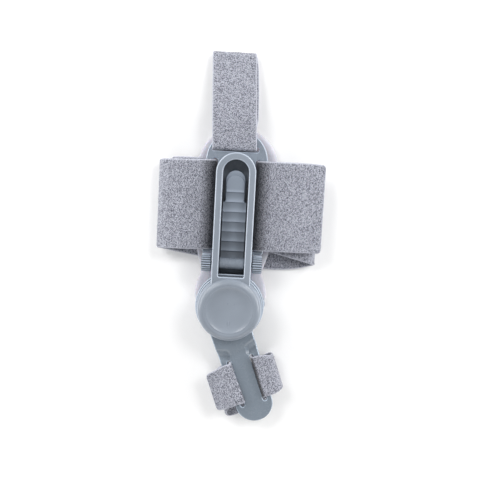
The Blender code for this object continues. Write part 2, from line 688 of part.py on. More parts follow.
def make_foot_strap(material):
    """Wide strap: sewn end, left rail, left fold, floor under the pad, right fold, right rail, free end."""
    half = FOOT_STRAP_THICKNESS / 2
    width = FOOT_STRAP_WIDTH
    slot = RAIL_INNER - 1.5 * CLEARANCE - half
    rail = (RAIL_INNER + RAIL_OUTER) / 2
    under = PLATE_BOTTOM - CLEARANCE - half
    over = PLATE_TOP + CLEARANCE + half
    below = over - FOOT_STRAP_THICKNESS - CLEARANCE
    left = -LEFT_FOLD_REACH + half
    right = RIGHT_FOLD_REACH - half
    # each table: run as a share of the reach, height from floor to layer, shift and width as shares of width
    sewn_end = (
        (0.86, 0.816, 0.004, 1.0),
        (0.72, 0.951, 0.010, 1.0),
        (0.60, 0.985, 0.012, 1.0),
        (0.53, 0.932, 0.010, 1.0),
        (0.44, 0.767, 0.004, 1.0),
    )
    left_fold = (
        (0.50, 1.000, -0.010, 1.0),
        (0.72, 0.968, -0.016, 1.0),
        (0.88, 0.847, -0.020, 1.0),
        (0.97, 0.629, -0.025, 1.0),
        (1.00, 0.444, -0.033, 1.0),
        (0.985, 0.218, -0.043, 1.0),
        (0.93, 0.048, -0.055, 1.0),
        (0.85, 0.000, -0.069, 1.0),
        (0.50, 0.000, -0.116, 1.0),
        (0.00, 0.000, -0.184, 1.0),
    )
    right_fold = (
        (0.42, 0.000, -0.231, 1.0),
        (0.72, 0.000, -0.222, 1.0),
        (0.88, 0.000, -0.194, 1.0),
        (0.965, 0.135, -0.169, 1.0),
        (1.00, 0.500, -0.149, 1.0),
        (0.965, 0.865, -0.133, 1.0),
        (0.86, 1.014, -0.104, 1.0),
        (0.62, 1.000, -0.051, 1.0),
        (0.47, 1.000, -0.018, 1.0),
    )
    free_end = (
        (0.50, 1.000, 0.004, 1.0),
        (0.72, 0.992, 0.006, 1.0),
        (1.00, 0.944, 0.002, 0.99),
    )
    rows = strap_rows(sewn_end, left, half, below, width)
    rows += rail_wrap(-1, slot, rail, under, over, -0.004 * width)
    rows += strap_rows(left_fold, left, half, over, width)
    rows += strap_rows(right_fold, right, half, under, width)
    rows += rail_wrap(1, slot, rail, under, over, 0.002 * width)
    rows += strap_rows(free_end, FREE_END_REACH, half, over, width)
    return ribbon("foot_strap", rows, width, FOOT_STRAP_THICKNESS, 0, material)


def make_heel_strap(material):
    """Closed loop round the frame's top rim, folded at its far end."""
    half = HEEL_STRAP_THICKNESS / 2
    width = HEEL_STRAP_WIDTH
    slot = HEEL_SLOT_START + HEEL_SLOT_HEIGHT / 2 - 0.1 * MM
    bend = STRAP_BEND
    under = PLATE_BOTTOM - CLEARANCE - half
    over = PLATE_TOP + CLEARANCE + half
    pad_end = PAD_TOP_CENTRE + PAD_TOP_RADIUS
    free = HEEL_FOLD_REACH - half - pad_end
    # each table: run past the pad as a share of the free length, height from floor to layer, shift, width
    fold = (
        (0.12, 0.960, 0.0, 1.0),
        (0.36, 0.806, 0.0, 1.0),
        (0.62, 0.565, 0.0, 1.0),
        (0.84, 0.323, 0.0, 1.0),
        (0.95, 0.234, 0.0, 1.0),
        (1.00, 0.105, 0.0, 1.0),
        (0.95, 0.008, 0.0, 1.0),
        (0.84, 0.000, 0.0, 1.0),
        (0.45, 0.000, 0.0, 1.0),
        (0.20, 0.008, 0.0, 1.0),
    )
    rise = (
        (0.10, 0.210, 0.0, 1.0),
        (0.055, 0.580, 0.0, 1.0),
        (-0.01, 0.974, 0.0, 1.0),
    )
    rows = [
        (slot, under + bend, 0.0, 1.0),
        (slot, over - bend, 0.0, 1.0),
        (slot + 0.3 * bend, over - 0.3 * bend, 0.0, 1.0),
        (slot + bend, over, 0.0, 1.0),
        (PLATE_TOP_REACH - 2 * MM, over, 0.0, 1.0),
    ]
    for table, top in ((fold, over), (rise, under)):
        past_pad = strap_rows(table, free, half, top, width)
        rows += [(pad_end + run, height, shift, share) for run, height, shift, share in past_pad]
    rows += [
        (PLATE_TOP_REACH - 1 * MM, under, 0.0, 1.0),
        (slot + bend, under, 0.0, 1.0),
        (slot + 0.3 * bend, under + 0.3 * bend, 0.0, 1.0),
    ]
    lean = math.tan(HEEL_STRAP_LEAN)
    leaning = []
    for run, height, shift, share in rows:
        leaning.append((run, height, shift + HEEL_STRAP_SHIFT - (run - slot) * lean, share))
    return ribbon("heel_strap", leaning, width, HEEL_STRAP_THICKNESS, 1, material, closed=True)


def make_toe_strap(material, axis):
    """Narrow strap: sewn end, right rail, right fold, floor, left fold, left rail, free end."""
    half = TOE_STRAP_THICKNESS / 2
    width = TOE_STRAP_WIDTH
    left_slot = ARM_SLOT_INNER + CLEARANCE + half
    right_slot = ARM_SLOT_INNER + ARM_SLOT_WIDTH - CLEARANCE - half
    rail = (ARM_SLOT_INNER + ARM_SLOT_WIDTH + ARM_TIP_RADIUS) / 2 + 0.4 * MM
    under = ARM_RAIL_BOTTOM - CLEARANCE - half
    over = ARM_RAIL_TOP + CLEARANCE + half
    fold = TOE_FOLD_REACH - half
    # each table: run as a share of the reach, height from floor to layer, shift and width as shares of width
    right_fold = (
        (0.78, 0.956, 0.004, 0.95),
        (0.93, 0.796, -0.012, 0.88),
        (1.00, 0.540, -0.016, 0.85),
        (0.96, 0.177, -0.024, 0.87),
        (0.83, 0.027, -0.072, 0.92),
        (0.62, 0.000, -0.128, 0.97),
        (0.00, 0.000, -0.240, 1.0),
    )
    left_fold = (
        (-0.62, 0.000, -0.320, 1.0),
        (-0.85, 0.054, -0.328, 1.0),
        (-0.97, 0.277, -0.288, 1.0),
        (-1.00, 0.500, -0.224, 1.0),
        (-0.95, 0.770, -0.136, 1.0),
        (-0.80, 0.970, -0.040, 1.0),
    )
    free_end = (
        (-0.62, 1.000, 0.004, 0.98),
        (-0.80, 0.982, -0.012, 0.95),
        (-1.00, 0.938, -0.024, 0.91),
    )
    start = 0.024 * width
    rows = [(ARM_TIP_RADIUS + 2 * CLEARANCE, under, 0.0, 0.94)]
    rows += rail_wrap(1, right_slot, rail, under, over, start)
    rows += strap_rows(right_fold, fold, half, over, width)
    rows += strap_rows(left_fold, fold, half, under, width)
    rows += rail_wrap(-1, left_slot, rail, under, over, start)
    rows += strap_rows(free_end, TOE_FREE_END_REACH, half, over, width)
    rows = [(ARM_OFFSET + run, height, shift - ARM_SLOT_CENTRE, share) for run, height, shift, share in rows]
    strap = ribbon("toe_strap", rows, width, TOE_STRAP_THICKNESS, 0, material)
    strap.parent = axis
    return strap


def main():
    """Builds every piece."""
    clear_scene()
    frame_plastic = make_material("frame_plastic", (0.27, 0.32, 0.37), 0.38)
    cap_plastic = make_material("cap_plastic", (0.30, 0.35, 0.40), 0.36)
    arm_plastic = make_material("arm_plastic", (0.22, 0.27, 0.32), 0.40)
    loop_fabric = make_material("loop_fabric", (0.37, 0.38, 0.43), 0.95)
    soft_pad = make_material("soft_pad", (0.70, 0.69, 0.76), 0.60)

    axis = bpy.data.objects.new("toe_swing_axis", None)
    bpy.context.collection.objects.link(axis)
    axis.location = (0, HUB_PLACE, 0)
    axis.rotation_euler = (0, 0, ARM_ANGLE)

    make_pad(soft_pad)
    make_base_frame(frame_plastic)
    make_bridge_cap(cap_plastic)
    make_thumb_roller(frame_plastic)
    make_ladder_tongue(frame_plastic)
    make_toe_arm(arm_plastic, axis)
    make_foot_strap(loop_fabric)
    make_heel_strap(loop_fabric)
    make_toe_strap(loop_fabric, axis)


main()
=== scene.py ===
"""Bunion corrector: finished pieces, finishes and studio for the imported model.

X is across the frame, Y runs along it to the heel strap and Z is up. The origin is on the surface that it
lies on, under the middle of the foot strap's slots. Sizes are in metres.
"""

import json
import math

import bmesh
import bpy
from bpy.props import FloatProperty, FloatVectorProperty, IntProperty, PointerProperty
from bpy.types import Operator, Panel, PropertyGroup
from mathutils import Matrix, Vector

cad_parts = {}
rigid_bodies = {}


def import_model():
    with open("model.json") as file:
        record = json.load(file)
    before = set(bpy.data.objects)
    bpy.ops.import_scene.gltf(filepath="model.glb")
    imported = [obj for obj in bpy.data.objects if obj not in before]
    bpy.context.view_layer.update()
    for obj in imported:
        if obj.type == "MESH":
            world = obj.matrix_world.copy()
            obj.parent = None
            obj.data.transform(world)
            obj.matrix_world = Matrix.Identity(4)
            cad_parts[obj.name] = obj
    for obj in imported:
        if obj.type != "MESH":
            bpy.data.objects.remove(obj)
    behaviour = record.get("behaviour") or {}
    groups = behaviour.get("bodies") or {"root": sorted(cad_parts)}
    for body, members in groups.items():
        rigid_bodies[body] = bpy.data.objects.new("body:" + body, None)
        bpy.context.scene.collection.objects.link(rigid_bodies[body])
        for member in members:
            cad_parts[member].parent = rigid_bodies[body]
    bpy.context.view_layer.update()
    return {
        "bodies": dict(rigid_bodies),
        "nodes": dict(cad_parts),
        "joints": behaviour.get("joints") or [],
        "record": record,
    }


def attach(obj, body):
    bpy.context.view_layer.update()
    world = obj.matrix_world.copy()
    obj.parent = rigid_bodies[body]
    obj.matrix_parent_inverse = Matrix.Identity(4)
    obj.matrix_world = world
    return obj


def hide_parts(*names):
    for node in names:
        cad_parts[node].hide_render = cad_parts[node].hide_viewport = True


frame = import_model()

bl_info = {
    "name": "Bunion corrector",
    "version": (1, 0, 0),
    "blender": (4, 5, 0),
    "location": "View3D > Sidebar > Splint",
    "description": "Makes the finished pieces of a bunion corrector over its packed model",
    "category": "Object",
}

MM = 0.001
CLEARANCE = 0.3 * MM

# Straps
FOOT_STRAP_WIDTH = 51 * MM
FOOT_STRAP_LENGTH = 235 * MM
FOOT_STRAP_THICKNESS = 1.8 * MM
LEFT_FOLD_REACH = 44 * MM
RIGHT_FOLD_REACH = 48 * MM
FREE_END_REACH = 50.3 * MM
HEEL_STRAP_WIDTH = 25 * MM
HEEL_STRAP_LENGTH = 116 * MM
HEEL_STRAP_THICKNESS = 1.6 * MM
HEEL_FOLD_REACH = 86 * MM
HEEL_STRAP_SHIFT = -1.65 * MM
HEEL_STRAP_LEAN = math.radians(2.9)
TOE_STRAP_WIDTH = 25 * MM
TOE_STRAP_LENGTH = 94 * MM
TOE_STRAP_THICKNESS = 1.4 * MM
TOE_FOLD_REACH = 19 * MM
TOE_FREE_END_REACH = 22 * MM
STRAP_BEND = 1.2 * MM
STRAP_CORNER = 2.0 * MM
STRAP_STEP = 0.55 * MM
STRAP_LANE = 0.85 * MM

# Pad
PAD_BOTTOM = 2.1 * MM
PAD_TOP = 6.5 * MM
PAD_TOP_RADIUS = 23.4 * MM
PAD_TOP_CENTRE = 21.2 * MM
PAD_LOBE_RADIUS = 21.2 * MM
PAD_LOBE_CENTRE = -51.8 * MM
PAD_WAIST_HALF_WIDTH = 18.1 * MM
PAD_TOP_SHIFT = 0.6 * MM
PAD_PROUD = 0.4 * MM
PAD_EDGE_RADIUS = 1.3 * MM
PAD_SLACK = 0.35 * MM
PAD_VOXEL = 1.1 * MM
SWELL_FRAMES = 14
SWELL_PRESSURE = 4.0

# Base frame
BASE_BOTTOM = 6.8 * MM
CHANNEL_FLOOR = 8.0 * MM
PLATE_BOTTOM = 9.5 * MM
PLATE_TOP = 12.1 * MM
TROUGH_TOP = 12.3 * MM
PLATE_HALF_WIDTH = 17.4 * MM
PLATE_TOP_REACH = 42.4 * MM
PLATE_END = 27.8 * MM
RAIL_INNER = 13.8 * MM
SLOT_INNER = 10.6 * MM
SLOT_HALF_LENGTH = 26.1 * MM
HEEL_SLOT_HEIGHT = 2.9 * MM
HEEL_RIM_WIDTH = 9.3 * MM
HEEL_SLOT_START = PLATE_TOP_REACH - HEEL_RIM_WIDTH - HEEL_SLOT_HEIGHT
HEEL_SLOT_HALF_LENGTH = 13.5 * MM
HEEL_SLOT_SHIFT = -1.2 * MM
DISC_RADIUS = 19.8 * MM
DISC_TOP = 10.2 * MM
LUG_RADIUS = 4.0 * MM
LUG_PROUD = 0.8 * MM
LUG_ANGLE = math.radians(8)
LOWER_EDGE_RADIUS = 0.25 * MM
RAIL_SLOT_EDGE = 0.5 * MM
NARROW_SLOT_EDGE = 0.45 * MM

# Ring, neck and cap
RING_HALF_WIDTH = 11.15 * MM
WINDOW_HALF_WIDTH = 7.25 * MM
RING_TOP_REACH = HEEL_SLOT_START - CLEARANCE
RING_BOTTOM = 12.6 * MM
RING_TOP = 20.5 * MM
WINDOW_END = -40.1 * MM
WINDOW_CORNER = 0.9 * MM
CROSS_BAR = 0.7 * MM
CROSS_BAR_DEPTH = 1.6 * MM
HUB_PLACE = -58.7 * MM
CAP_RADIUS = 18.3 * MM
CAP_BOTTOM = 13.6 * MM
CAP_TOP = 22.5 * MM
DISH_RADIUS = 13.3 * MM
DISH_DEPTH = 1.7 * MM
DISH_RIM = 0.99
CAP_LIP = 0.45 * MM
GATE_START, GATE_END = 0.50, 0.74
GATE_HALF_WIDTH = 0.12 * MM
PIVOT_RADIUS = 4.0 * MM

# Thumb roller
ROLLER_PLACE = -32.9 * MM
ROLLER_HEIGHT = 15.1 * MM
KNURL_RADIUS = 5.2 * MM
KNURL_LENGTH = 5.6 * MM
KNURL_CHAMFER = 0.6 * MM
KNURL_DEPTH = 0.62 * MM
DRUM_RADIUS = 3.2 * MM
AXLE_RADIUS = 1.6 * MM

# Ladder tongue
LADDER_HALF_WIDTH = 6.6 * MM
LADDER_TIP_HALF_WIDTH = 5.4 * MM
LADDER_TIP_REACH = 19.6 * MM
LADDER_LIP = 2.5 * MM
LADDER_PLATE = 1.6 * MM
LADDER_TOOTH_HEIGHT = 1.0 * MM
LADDER_FIRST_TOOTH = 7.6 * MM
LADDER_TAIL = -39.3 * MM
LADDER_RISE = 4.6 * MM

# Toe arm, along -Y from the hub before it is turned
ARM_ANGLE = math.radians(20.3)
ARM_OFFSET = -3.4 * MM
ARM_HUB_RADIUS = 19.0 * MM
ARM_HUB_BOTTOM = 10.5 * MM
ARM_HUB_TOP = 13.3 * MM
ARM_TIP_PLACE = 59.2 * MM
ARM_TIP_RADIUS = 10.95 * MM
ARM_ROOT_HALF_WIDTH = 12.2 * MM
ARM_THICKNESS = 2.2 * MM
ARM_DROP_START = 20.0 * MM
ARM_DROP_END = 30.0 * MM
ARM_DROP = 2.3 * MM
ARM_CREASE_DEPTH = 0.6 * MM
ARM_CREASE_RUN = 4.0 * MM
ARM_SLOT_CENTRE = 45.4 * MM
ARM_SLOT_HALF_LENGTH = 14.5 * MM
ARM_SLOT_INNER = 5.6 * MM
ARM_SLOT_WIDTH = 2.5 * MM
ARM_SLOT_START = ARM_SLOT_CENTRE - ARM_SLOT_HALF_LENGTH
ARM_RAIL_TOP = ARM_HUB_TOP - ARM_DROP
ARM_RAIL_BOTTOM = ARM_RAIL_TOP - ARM_THICKNESS

# Painted light on the plastic: how much lighter its painted edge highlights and gate mark are, the drum's
# tone, and how much lighter the tongue's copy of the frame plastic is
FRAME_EDGE_HIGHLIGHT = 1.8
RING_EDGE_HIGHLIGHT = 1.6
ARM_EDGE_HIGHLIGHT = 2.1
GATE_HIGHLIGHT = 1.35
DRUM_TONE = 0.9
TONGUE_PAINTED_LIGHT = 1.45

# Floor and camera
FLOOR_SIZE = 1.6
FLOOR_DROP = 0.15 * MM
CAMERA_TILT = math.radians(7.0)
CAMERA_ROLL = math.radians(3.03)
CAMERA_REACH = 0.438
CAMERA_TARGET = Vector((0.00439, -0.01993, 0.012))
CAMERA_SPAN = 0.27417


# Settings that a user would change


class SplintSizes(PropertyGroup):
    """Sizes of details on the finished pieces."""

    pile_relief: FloatProperty(name="Pile relief", description="How far the straps' pile rises and falls",
                               default=0.07 * MM, unit="LENGTH")
    pile_grain: FloatProperty(name="Pile grain", description="Length of one clump of the straps' pile",
                              default=1.7 * MM, unit="LENGTH")
    loop_width: FloatProperty(name="Loop width", description="Width of one thread loop on the straps",
                              default=0.9 * MM, unit="LENGTH")
    loop_wire: FloatProperty(name="Loop thread", description="Radius of the thread in a loop",
                             default=0.05 * MM, unit="LENGTH")
    loop_density: FloatProperty(name="Loop density", description="Thread loops on a square metre of strap",
                                default=110000.0)
    edge_radius: FloatProperty(name="Edge radius", description="Rounding of the plastic's edges",
                               default=0.55 * MM, unit="LENGTH")
    knurl_ridges: IntProperty(name="Roller ridges", description="Ridges round each end of the roller",
                              default=22)
    ladder_teeth: IntProperty(name="Tongue ribs", description="Ribs on the ladder tongue", default=8)
    ladder_pitch: FloatProperty(name="Rib pitch", description="Distance between the tongue's ribs",
                                default=5.65 * MM, unit="LENGTH")


class SplintFinishes(PropertyGroup):
    """Colours of the finished pieces."""

    frame_colour: FloatVectorProperty(name="Frame", description="Plastic of the base frame and tongue",
                                      default=(0.222, 0.256, 0.306), subtype="COLOR")
    cap_colour: FloatVectorProperty(name="Ring and cap", description="Plastic of the ring, neck and cap",
                                    default=(0.232, 0.264, 0.311), subtype="COLOR")
    arm_colour: FloatVectorProperty(name="Toe arm", description="Plastic of the toe arm",
                                    default=(0.185, 0.220, 0.262), subtype="COLOR")
    fabric_light: FloatVectorProperty(name="Fabric, raised", description="Loop fabric where its pile is up",
                                      default=(0.485, 0.50, 0.572), subtype="COLOR")
    fabric_dark: FloatVectorProperty(name="Fabric, deep", description="Loop fabric between the clumps",
                                     default=(0.085, 0.09, 0.115), subtype="COLOR")
    pad_colour: FloatVectorProperty(name="Pad", description="Soft pad",
                                    default=(0.55, 0.545, 0.61), subtype="COLOR")


class SplintStage(PropertyGroup):
    """Light and floor of the studio."""

    sky: FloatProperty(name="Sky", description="Strength of the even light", default=0.4)
    key: FloatProperty(name="Heel lights", description="Power of both lights beyond the heel",
                       default=4.2, unit="POWER")
    side: FloatProperty(name="Side lights", description="Power of each side light",
                        default=4.5, unit="POWER")
    floor_tone: FloatProperty(name="Floor", description="Brightness of the floor", default=0.97)


# Outlines and curves


def arc(centre, radius, start, end, steps):
    """Returns points of an arc, with angles in degrees."""
    points = []
    for k in range(steps + 1):
        angle = math.radians(start + (end - start) * k / steps)
        points.append((centre[0] + radius * math.cos(angle), centre[1] + radius * math.sin(angle)))
    return points


def rectangle(x_low, x_high, y_low, y_high):
    """Returns a rectangle's corners, counter-clockwise."""
    return [(x_low, y_low), (x_high, y_low), (x_high, y_high), (x_low, y_high)]


def slot_outline(x_low, x_high, y_low, y_high, steps=16):
    """Returns a long slot's outline with round ends, along Y or X, whichever is longer."""
    if y_high - y_low > x_high - x_low:
        radius = (x_high - x_low) / 2
        middle = (x_low + x_high) / 2
        lower = arc((middle, y_low + radius), radius, 180, 360, steps)
        return lower + arc((middle, y_high - radius), radius, 0, 180, steps)
    radius = (y_high - y_low) / 2
    middle = (y_low + y_high) / 2
    left = arc((x_low + radius, middle), radius, 90, 270, steps)
    return left + arc((x_high - radius, middle), radius, -90, 90, steps)


def offset_outline(outline, distance):
    """Returns a counter-clockwise outline moved outwards by distance."""
    moved = []
    count = len(outline)
    for i in range(count):
        before, here, after = (Vector(outline[(i + k) % count]) for k in (-1, 0, 1))
        first = (here - before).normalized()
        second = (after - here).normalized()
        one = Vector((first.y, -first.x))
        two = Vector((second.y, -second.x))
        middle = (one + two).normalized()
        moved.append(tuple(here + middle * distance / max(middle.dot(one), 0.3)))
    return moved


def smooth_rows(rows, steps, closed=False):
    """Returns rows read from a smooth curve through the given rows."""
    count = len(rows)
    rows = [Vector(row) for row in rows]
    result = []
    for i in range(count if closed else count - 1):
        if closed:
            p0, p1, p2, p3 = (rows[(i + k) % count] for k in (-1, 0, 1, 2))
        else:
            p1, p2 = rows[i], rows[i + 1]
            p0 = rows[i - 1] if i else p1 + (p1 - p2)
            p3 = rows[i + 2] if i + 2 < count else p2 + (p2 - p1)
        t1 = math.sqrt((p1 - p0).xyz.length)
        t2 = t1 + math.sqrt((p2 - p1).xyz.length)
        t3 = t2 + math.sqrt((p3 - p2).xyz.length)
        for k in range(steps):
            t = t1 + (t2 - t1) * k / steps
            a1 = p0 * ((t1 - t) / t1) + p1 * (t / t1)
            a2 = p1 * ((t2 - t) / (t2 - t1)) + p2 * ((t - t1) / (t2 - t1))
            a3 = p2 * ((t3 - t) / (t3 - t2)) + p3 * ((t - t2) / (t3 - t2))
            b1 = a1 * ((t2 - t) / t2) + a2 * (t / t2)
            b2 = a2 * ((t3 - t) / (t3 - t1)) + a3 * ((t - t1) / (t3 - t1))
            result.append(b1 * ((t2 - t) / (t2 - t1)) + b2 * ((t - t1) / (t2 - t1)))
    if not closed:
        result.append(rows[-1])
    return result


def ease(value, start, end):
    """Goes smoothly from 0 at start to 1 at end."""
    share = min(max((value - start) / (end - start), 0), 1)
    return share * share * (3 - 2 * share)


# Meshes


def add_mesh(name, points, faces):
    """Returns a new object whose faces point outwards."""
    mesh = bpy.data.meshes.new(name)
    mesh.from_pydata([tuple(p) for p in points], [], faces)
    work = bmesh.new()
    work.from_mesh(mesh)
    bmesh.ops.recalc_face_normals(work, faces=work.faces)
    work.to_mesh(mesh)
    work.free()
    piece = bpy.data.objects.new(name, mesh)
    bpy.context.collection.objects.link(piece)
    return piece


def skin_rings(rings, closed=False):
    """Returns points and faces of a skin through rings of equal count."""
    count = len(rings[0])
    points = [p for ring in rings for p in ring]
    faces = []
    for r in range(len(rings) if closed else len(rings) - 1):
        here = r * count
        there = (r + 1) % len(rings) * count
        for i in range(count):
            j = (i + 1) % count
            faces.append((here + i, here + j, there + j, there + i))
    if not closed:
        faces.append(tuple(range(count)))
        faces.append(tuple(range((len(rings) - 1) * count, len(rings) * count)))
    return points, faces


# An edge from the wall to the face: share of its width inward, and share of its width below the face
ROUND_EDGE = tuple((1 - math.cos(math.radians(18 * k)), 1 - math.sin(math.radians(18 * k))) for k in range(6))
BEVEL_EDGE = ((0.0, 0.80), (0.05, 0.66), (0.14, 0.56), (0.80, 0.09), (0.92, 0.02), (1.0, 0.0))


def rounded_levels(bottom, top, low_radius, high_radius, shape=ROUND_EDGE):
    """Returns heights and outward offsets of a wall whose lower and upper edges are rounded."""
    rows = [(bottom, 0.0)]
    if low_radius:
        rows = [(bottom + low_radius * sunk, -low_radius * inset) for inset, sunk in reversed(ROUND_EDGE)]
    if not high_radius:
        return rows + [(top, 0.0)]
    return rows + [(top - high_radius * sunk, -high_radius * inset) for inset, sunk in shape]


def prism(name, outline, levels):
    """Returns a solid that stands on an outline. Levels has rows of height and outward offset, going up."""
    rings = []
    for height, offset in levels:
        moved = offset_outline(outline, offset) if offset else outline
        rings.append([(x, y, height) for x, y in moved])
    return add_mesh(name, *skin_rings(rings))


def flared_cutter(name, outline, low, surface, radius):
    """Returns a cutter that leaves a bevelled edge where it comes out of a surface of a given height."""
    over = 2 * MM
    rings = [[(x, y, low) for x, y in outline]]
    for inset, sunk in BEVEL_EDGE:
        moved = offset_outline(outline, radius * inset)
        rings.append([(x, y, surface(x, y) - radius * sunk) for x, y in moved])
    rings.append([(x, y, surface(x, y) + over) for x, y in offset_outline(outline, radius)])
    return add_mesh(name, *skin_rings(rings))


def turned(name, profile, centre, steps=128):
    """Returns a solid turned round a vertical axis. Profile has rows of radius and height."""
    points, rows = [], []
    for radius, height in profile:
        if radius == 0:
            rows.append([len(points)] * steps)
            points.append((centre[0], centre[1], height))
            continue
        rows.append(list(range(len(points), len(points) + steps)))
        for x, y in arc(centre, radius, 0, 360 * (steps - 1) / steps, steps - 1):
            points.append((x, y, height))
    faces = []
    for lower, upper in zip(rows, rows[1:]):
        for k in range(steps):
            n = (k + 1) % steps
            faces.append(list(dict.fromkeys((lower[k], lower[n], upper[n], upper[k]))))
    return add_mesh(name, points, faces)


def disc_profile(radius, bottom, top, edge):
    """Returns the profile of a disc with a bevelled upper edge."""
    rows = [(0, bottom), (radius, bottom)]
    rows += [(radius - edge * inset, top - edge * sunk) for inset, sunk in BEVEL_EDGE]
    return rows + [(0, top)]


def cylinder(name, radius, low, high, centre, steps=128):
    """Returns a cylinder round a vertical axis."""
    return turned(name, ((0, low), (radius, low), (radius, high), (0, high)), centre, steps)


def bake_modifiers(piece):
    """Puts the result of a piece's modifiers into its mesh."""
    graph = bpy.context.evaluated_depsgraph_get()
    result = piece.evaluated_get(graph)
    mesh = bpy.data.meshes.new_from_object(result, preserve_all_data_layers=True, depsgraph=graph)
    piece.modifiers.clear()
    piece.data = mesh
    return piece


def combine(target, helper, operation):
    """Joins a helper to a target, or cuts with it, and removes the helper."""
    step = target.modifiers.new(helper.name, "BOOLEAN")
    step.operation = operation
    step.solver = "EXACT"
    step.object = helper
    bake_modifiers(target)
    bpy.data.objects.remove(helper, do_unlink=True)


def even_shading(piece, angle=34):
    """Makes rounded edges look smooth and flat faces look flat."""
    mesh = piece.data
    work = bmesh.new()
    work.from_mesh(mesh)
    bmesh.ops.remove_doubles(work, verts=work.verts, dist=0.002 * MM)
    bmesh.ops.dissolve_degenerate(work, edges=work.edges, dist=0.001 * MM)
    work.to_mesh(mesh)
    work.free()
    mesh.shade_smooth()
    mesh.set_sharp_from_angle(angle=math.radians(angle))
    step = piece.modifiers.new("Even shading", "WEIGHTED_NORMAL")
    step.keep_sharp = True
    step.weight = 60
    return bake_modifiers(piece)


def write_attribute(piece, name, values, kind="FLOAT"):
    """Writes a number, or a vector's three numbers, for each point of a piece."""
    attribute = piece.data.attributes.new(name, kind, "POINT")
    attribute.data.foreach_set("vector" if kind == "FLOAT_VECTOR" else "value", values)
    return piece


def paint_light_and_shade(piece, painted_tone_at):
    """Sets the painted light and shade at each point of a piece: above 1 a painted highlight, below 1 painted
    shade.
    """
    return write_attribute(piece, "painted_light_and_shade", [painted_tone_at(point.co) for point in piece.data.vertices])


def edge_highlight_tone(height, tops, lightest):
    """Tone of a point just below one of the faces of given heights: a painted highlight on the bevel, plain
    elsewhere.
    """
    near = any(0.03 * MM < top - height < 0.5 * MM for top in tops)
    return lightest if near else 1.0


def move_points(piece, change):
    """Moves a piece's points by a matrix."""
    piece.data.transform(change)
    return piece


def toe_frame():
    """Returns the matrix from the toe arm's own straight frame to its place."""
    return Matrix.Translation((0, HUB_PLACE, 0)) @ Matrix.Rotation(ARM_ANGLE, 4, "Z")


def finish_piece(piece, material, body, slot, *nodes):
    """Gives a piece its material and its body, and hides the nodes that it stands for; its slot is not used.
    """
    piece.data.materials.clear()
    piece.data.materials.append(material)
    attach(piece, body)
    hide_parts(*nodes)
    return piece


# Node trees


def start_tree(name, sockets):
    """Returns a geometry node tree with named inputs, its input node and its output node."""
    tree = bpy.data.node_groups.new(name, "GeometryNodeTree")
    for label, kind in sockets:
        tree.interface.new_socket(name=label, in_out="INPUT", socket_type="NodeSocket" + kind)
    tree.interface.new_socket(name="Geometry", in_out="OUTPUT", socket_type="NodeSocketGeometry")
    return tree, tree.nodes.new("NodeGroupInput"), tree.nodes.new("NodeGroupOutput")


def add_node(tree, kind, values=(), **settings):
    """Returns a new node with settings and with socket values or links by name or number."""
    node = tree.nodes.new(kind)
    for name, value in settings.items():
        setattr(node, name, value)
    for name, value in dict(values).items():
        socket = node.inputs[name]
        if isinstance(value, bpy.types.NodeSocket):
            tree.links.new(value, socket)
        else:
            socket.default_value = value
    return node


def math_node(tree, operation, first, second=0.0):
    """Returns the value of a math node."""
    node = add_node(tree, "ShaderNodeMath", {0: first, 1: second}, operation=operation)
    return node.outputs[0]


def run_tree(piece, tree, values):
    """Runs a node tree on a piece with inputs by name, and keeps the plain mesh."""
    step = piece.modifiers.new(tree.name, "NODES")
    step.node_group = tree
    for item in tree.interface.items_tree:
        if item.item_type == "SOCKET" and item.in_out == "INPUT" and item.name in values:
            step[item.identifier] = values[item.name]
    return bake_modifiers(piece)


def end_tree(tree, given, result, geometry):
    """Ends a tree with plain copies in the material that it is given."""
    real = add_node(tree, "GeometryNodeRealizeInstances", {0: geometry})
    finish = add_node(tree, "GeometryNodeSetMaterial",
                      {"Geometry": real.outputs[0], "Material": given.outputs["Material"]})
    tree.links.new(finish.outputs[0], result.inputs[0])
    return tree


def copies_tree(name, distance, layout):
    """Tree that sets copies of a shape at places and turns that layout works out from each copy's number."""
    tree, given, result = start_tree(
        name,
        (("Copies", "Int"), (distance, "Float"), ("Origin", "Vector"), ("Shape", "Object"),
         ("Material", "Material")),
    )
    number = add_node(tree, "GeometryNodeInputIndex").outputs[0]
    place, turn = layout(tree, given.outputs, number)
    spots = add_node(tree, "GeometryNodePoints", {"Count": given.outputs["Copies"], "Position": place})
    shape = add_node(tree, "GeometryNodeObjectInfo", {"Object": given.outputs["Shape"], "As Instance": True})
    copies = add_node(tree, "GeometryNodeInstanceOnPoints",
                      {"Points": spots.outputs[0], "Instance": shape.outputs["Geometry"], "Rotation": turn})
    moved = add_node(tree, "GeometryNodeTransform",
                     {"Geometry": copies.outputs[0], "Translation": given.outputs["Origin"]})
    return end_tree(tree, given, result, moved.outputs[0])


def ridge_layout(tree, given, number):
    """Places round the X axis, each turned so that its crest points outwards."""
    turn = math_node(tree, "DIVIDE", math_node(tree, "MULTIPLY", number, 2 * math.pi), given["Copies"])
    across = math_node(tree, "MULTIPLY", math_node(tree, "SINE", turn), given["Reach"])
    across = math_node(tree, "MULTIPLY", across, -1.0)
    up = math_node(tree, "MULTIPLY", math_node(tree, "COSINE", turn), given["Reach"])
    place = add_node(tree, "ShaderNodeCombineXYZ", {"Y": across, "Z": up})
    return place.outputs[0], add_node(tree, "ShaderNodeCombineXYZ", {"X": turn}).outputs[0]


def rib_layout(tree, given, number):
    """Places in a row along -Y, with no turn."""
    step = math_node(tree, "MULTIPLY", math_node(tree, "MULTIPLY", number, given["Pitch"]), -1.0)
    return add_node(tree, "ShaderNodeCombineXYZ", {"Y": step}).outputs[0], (0.0, 0.0, 0.0)


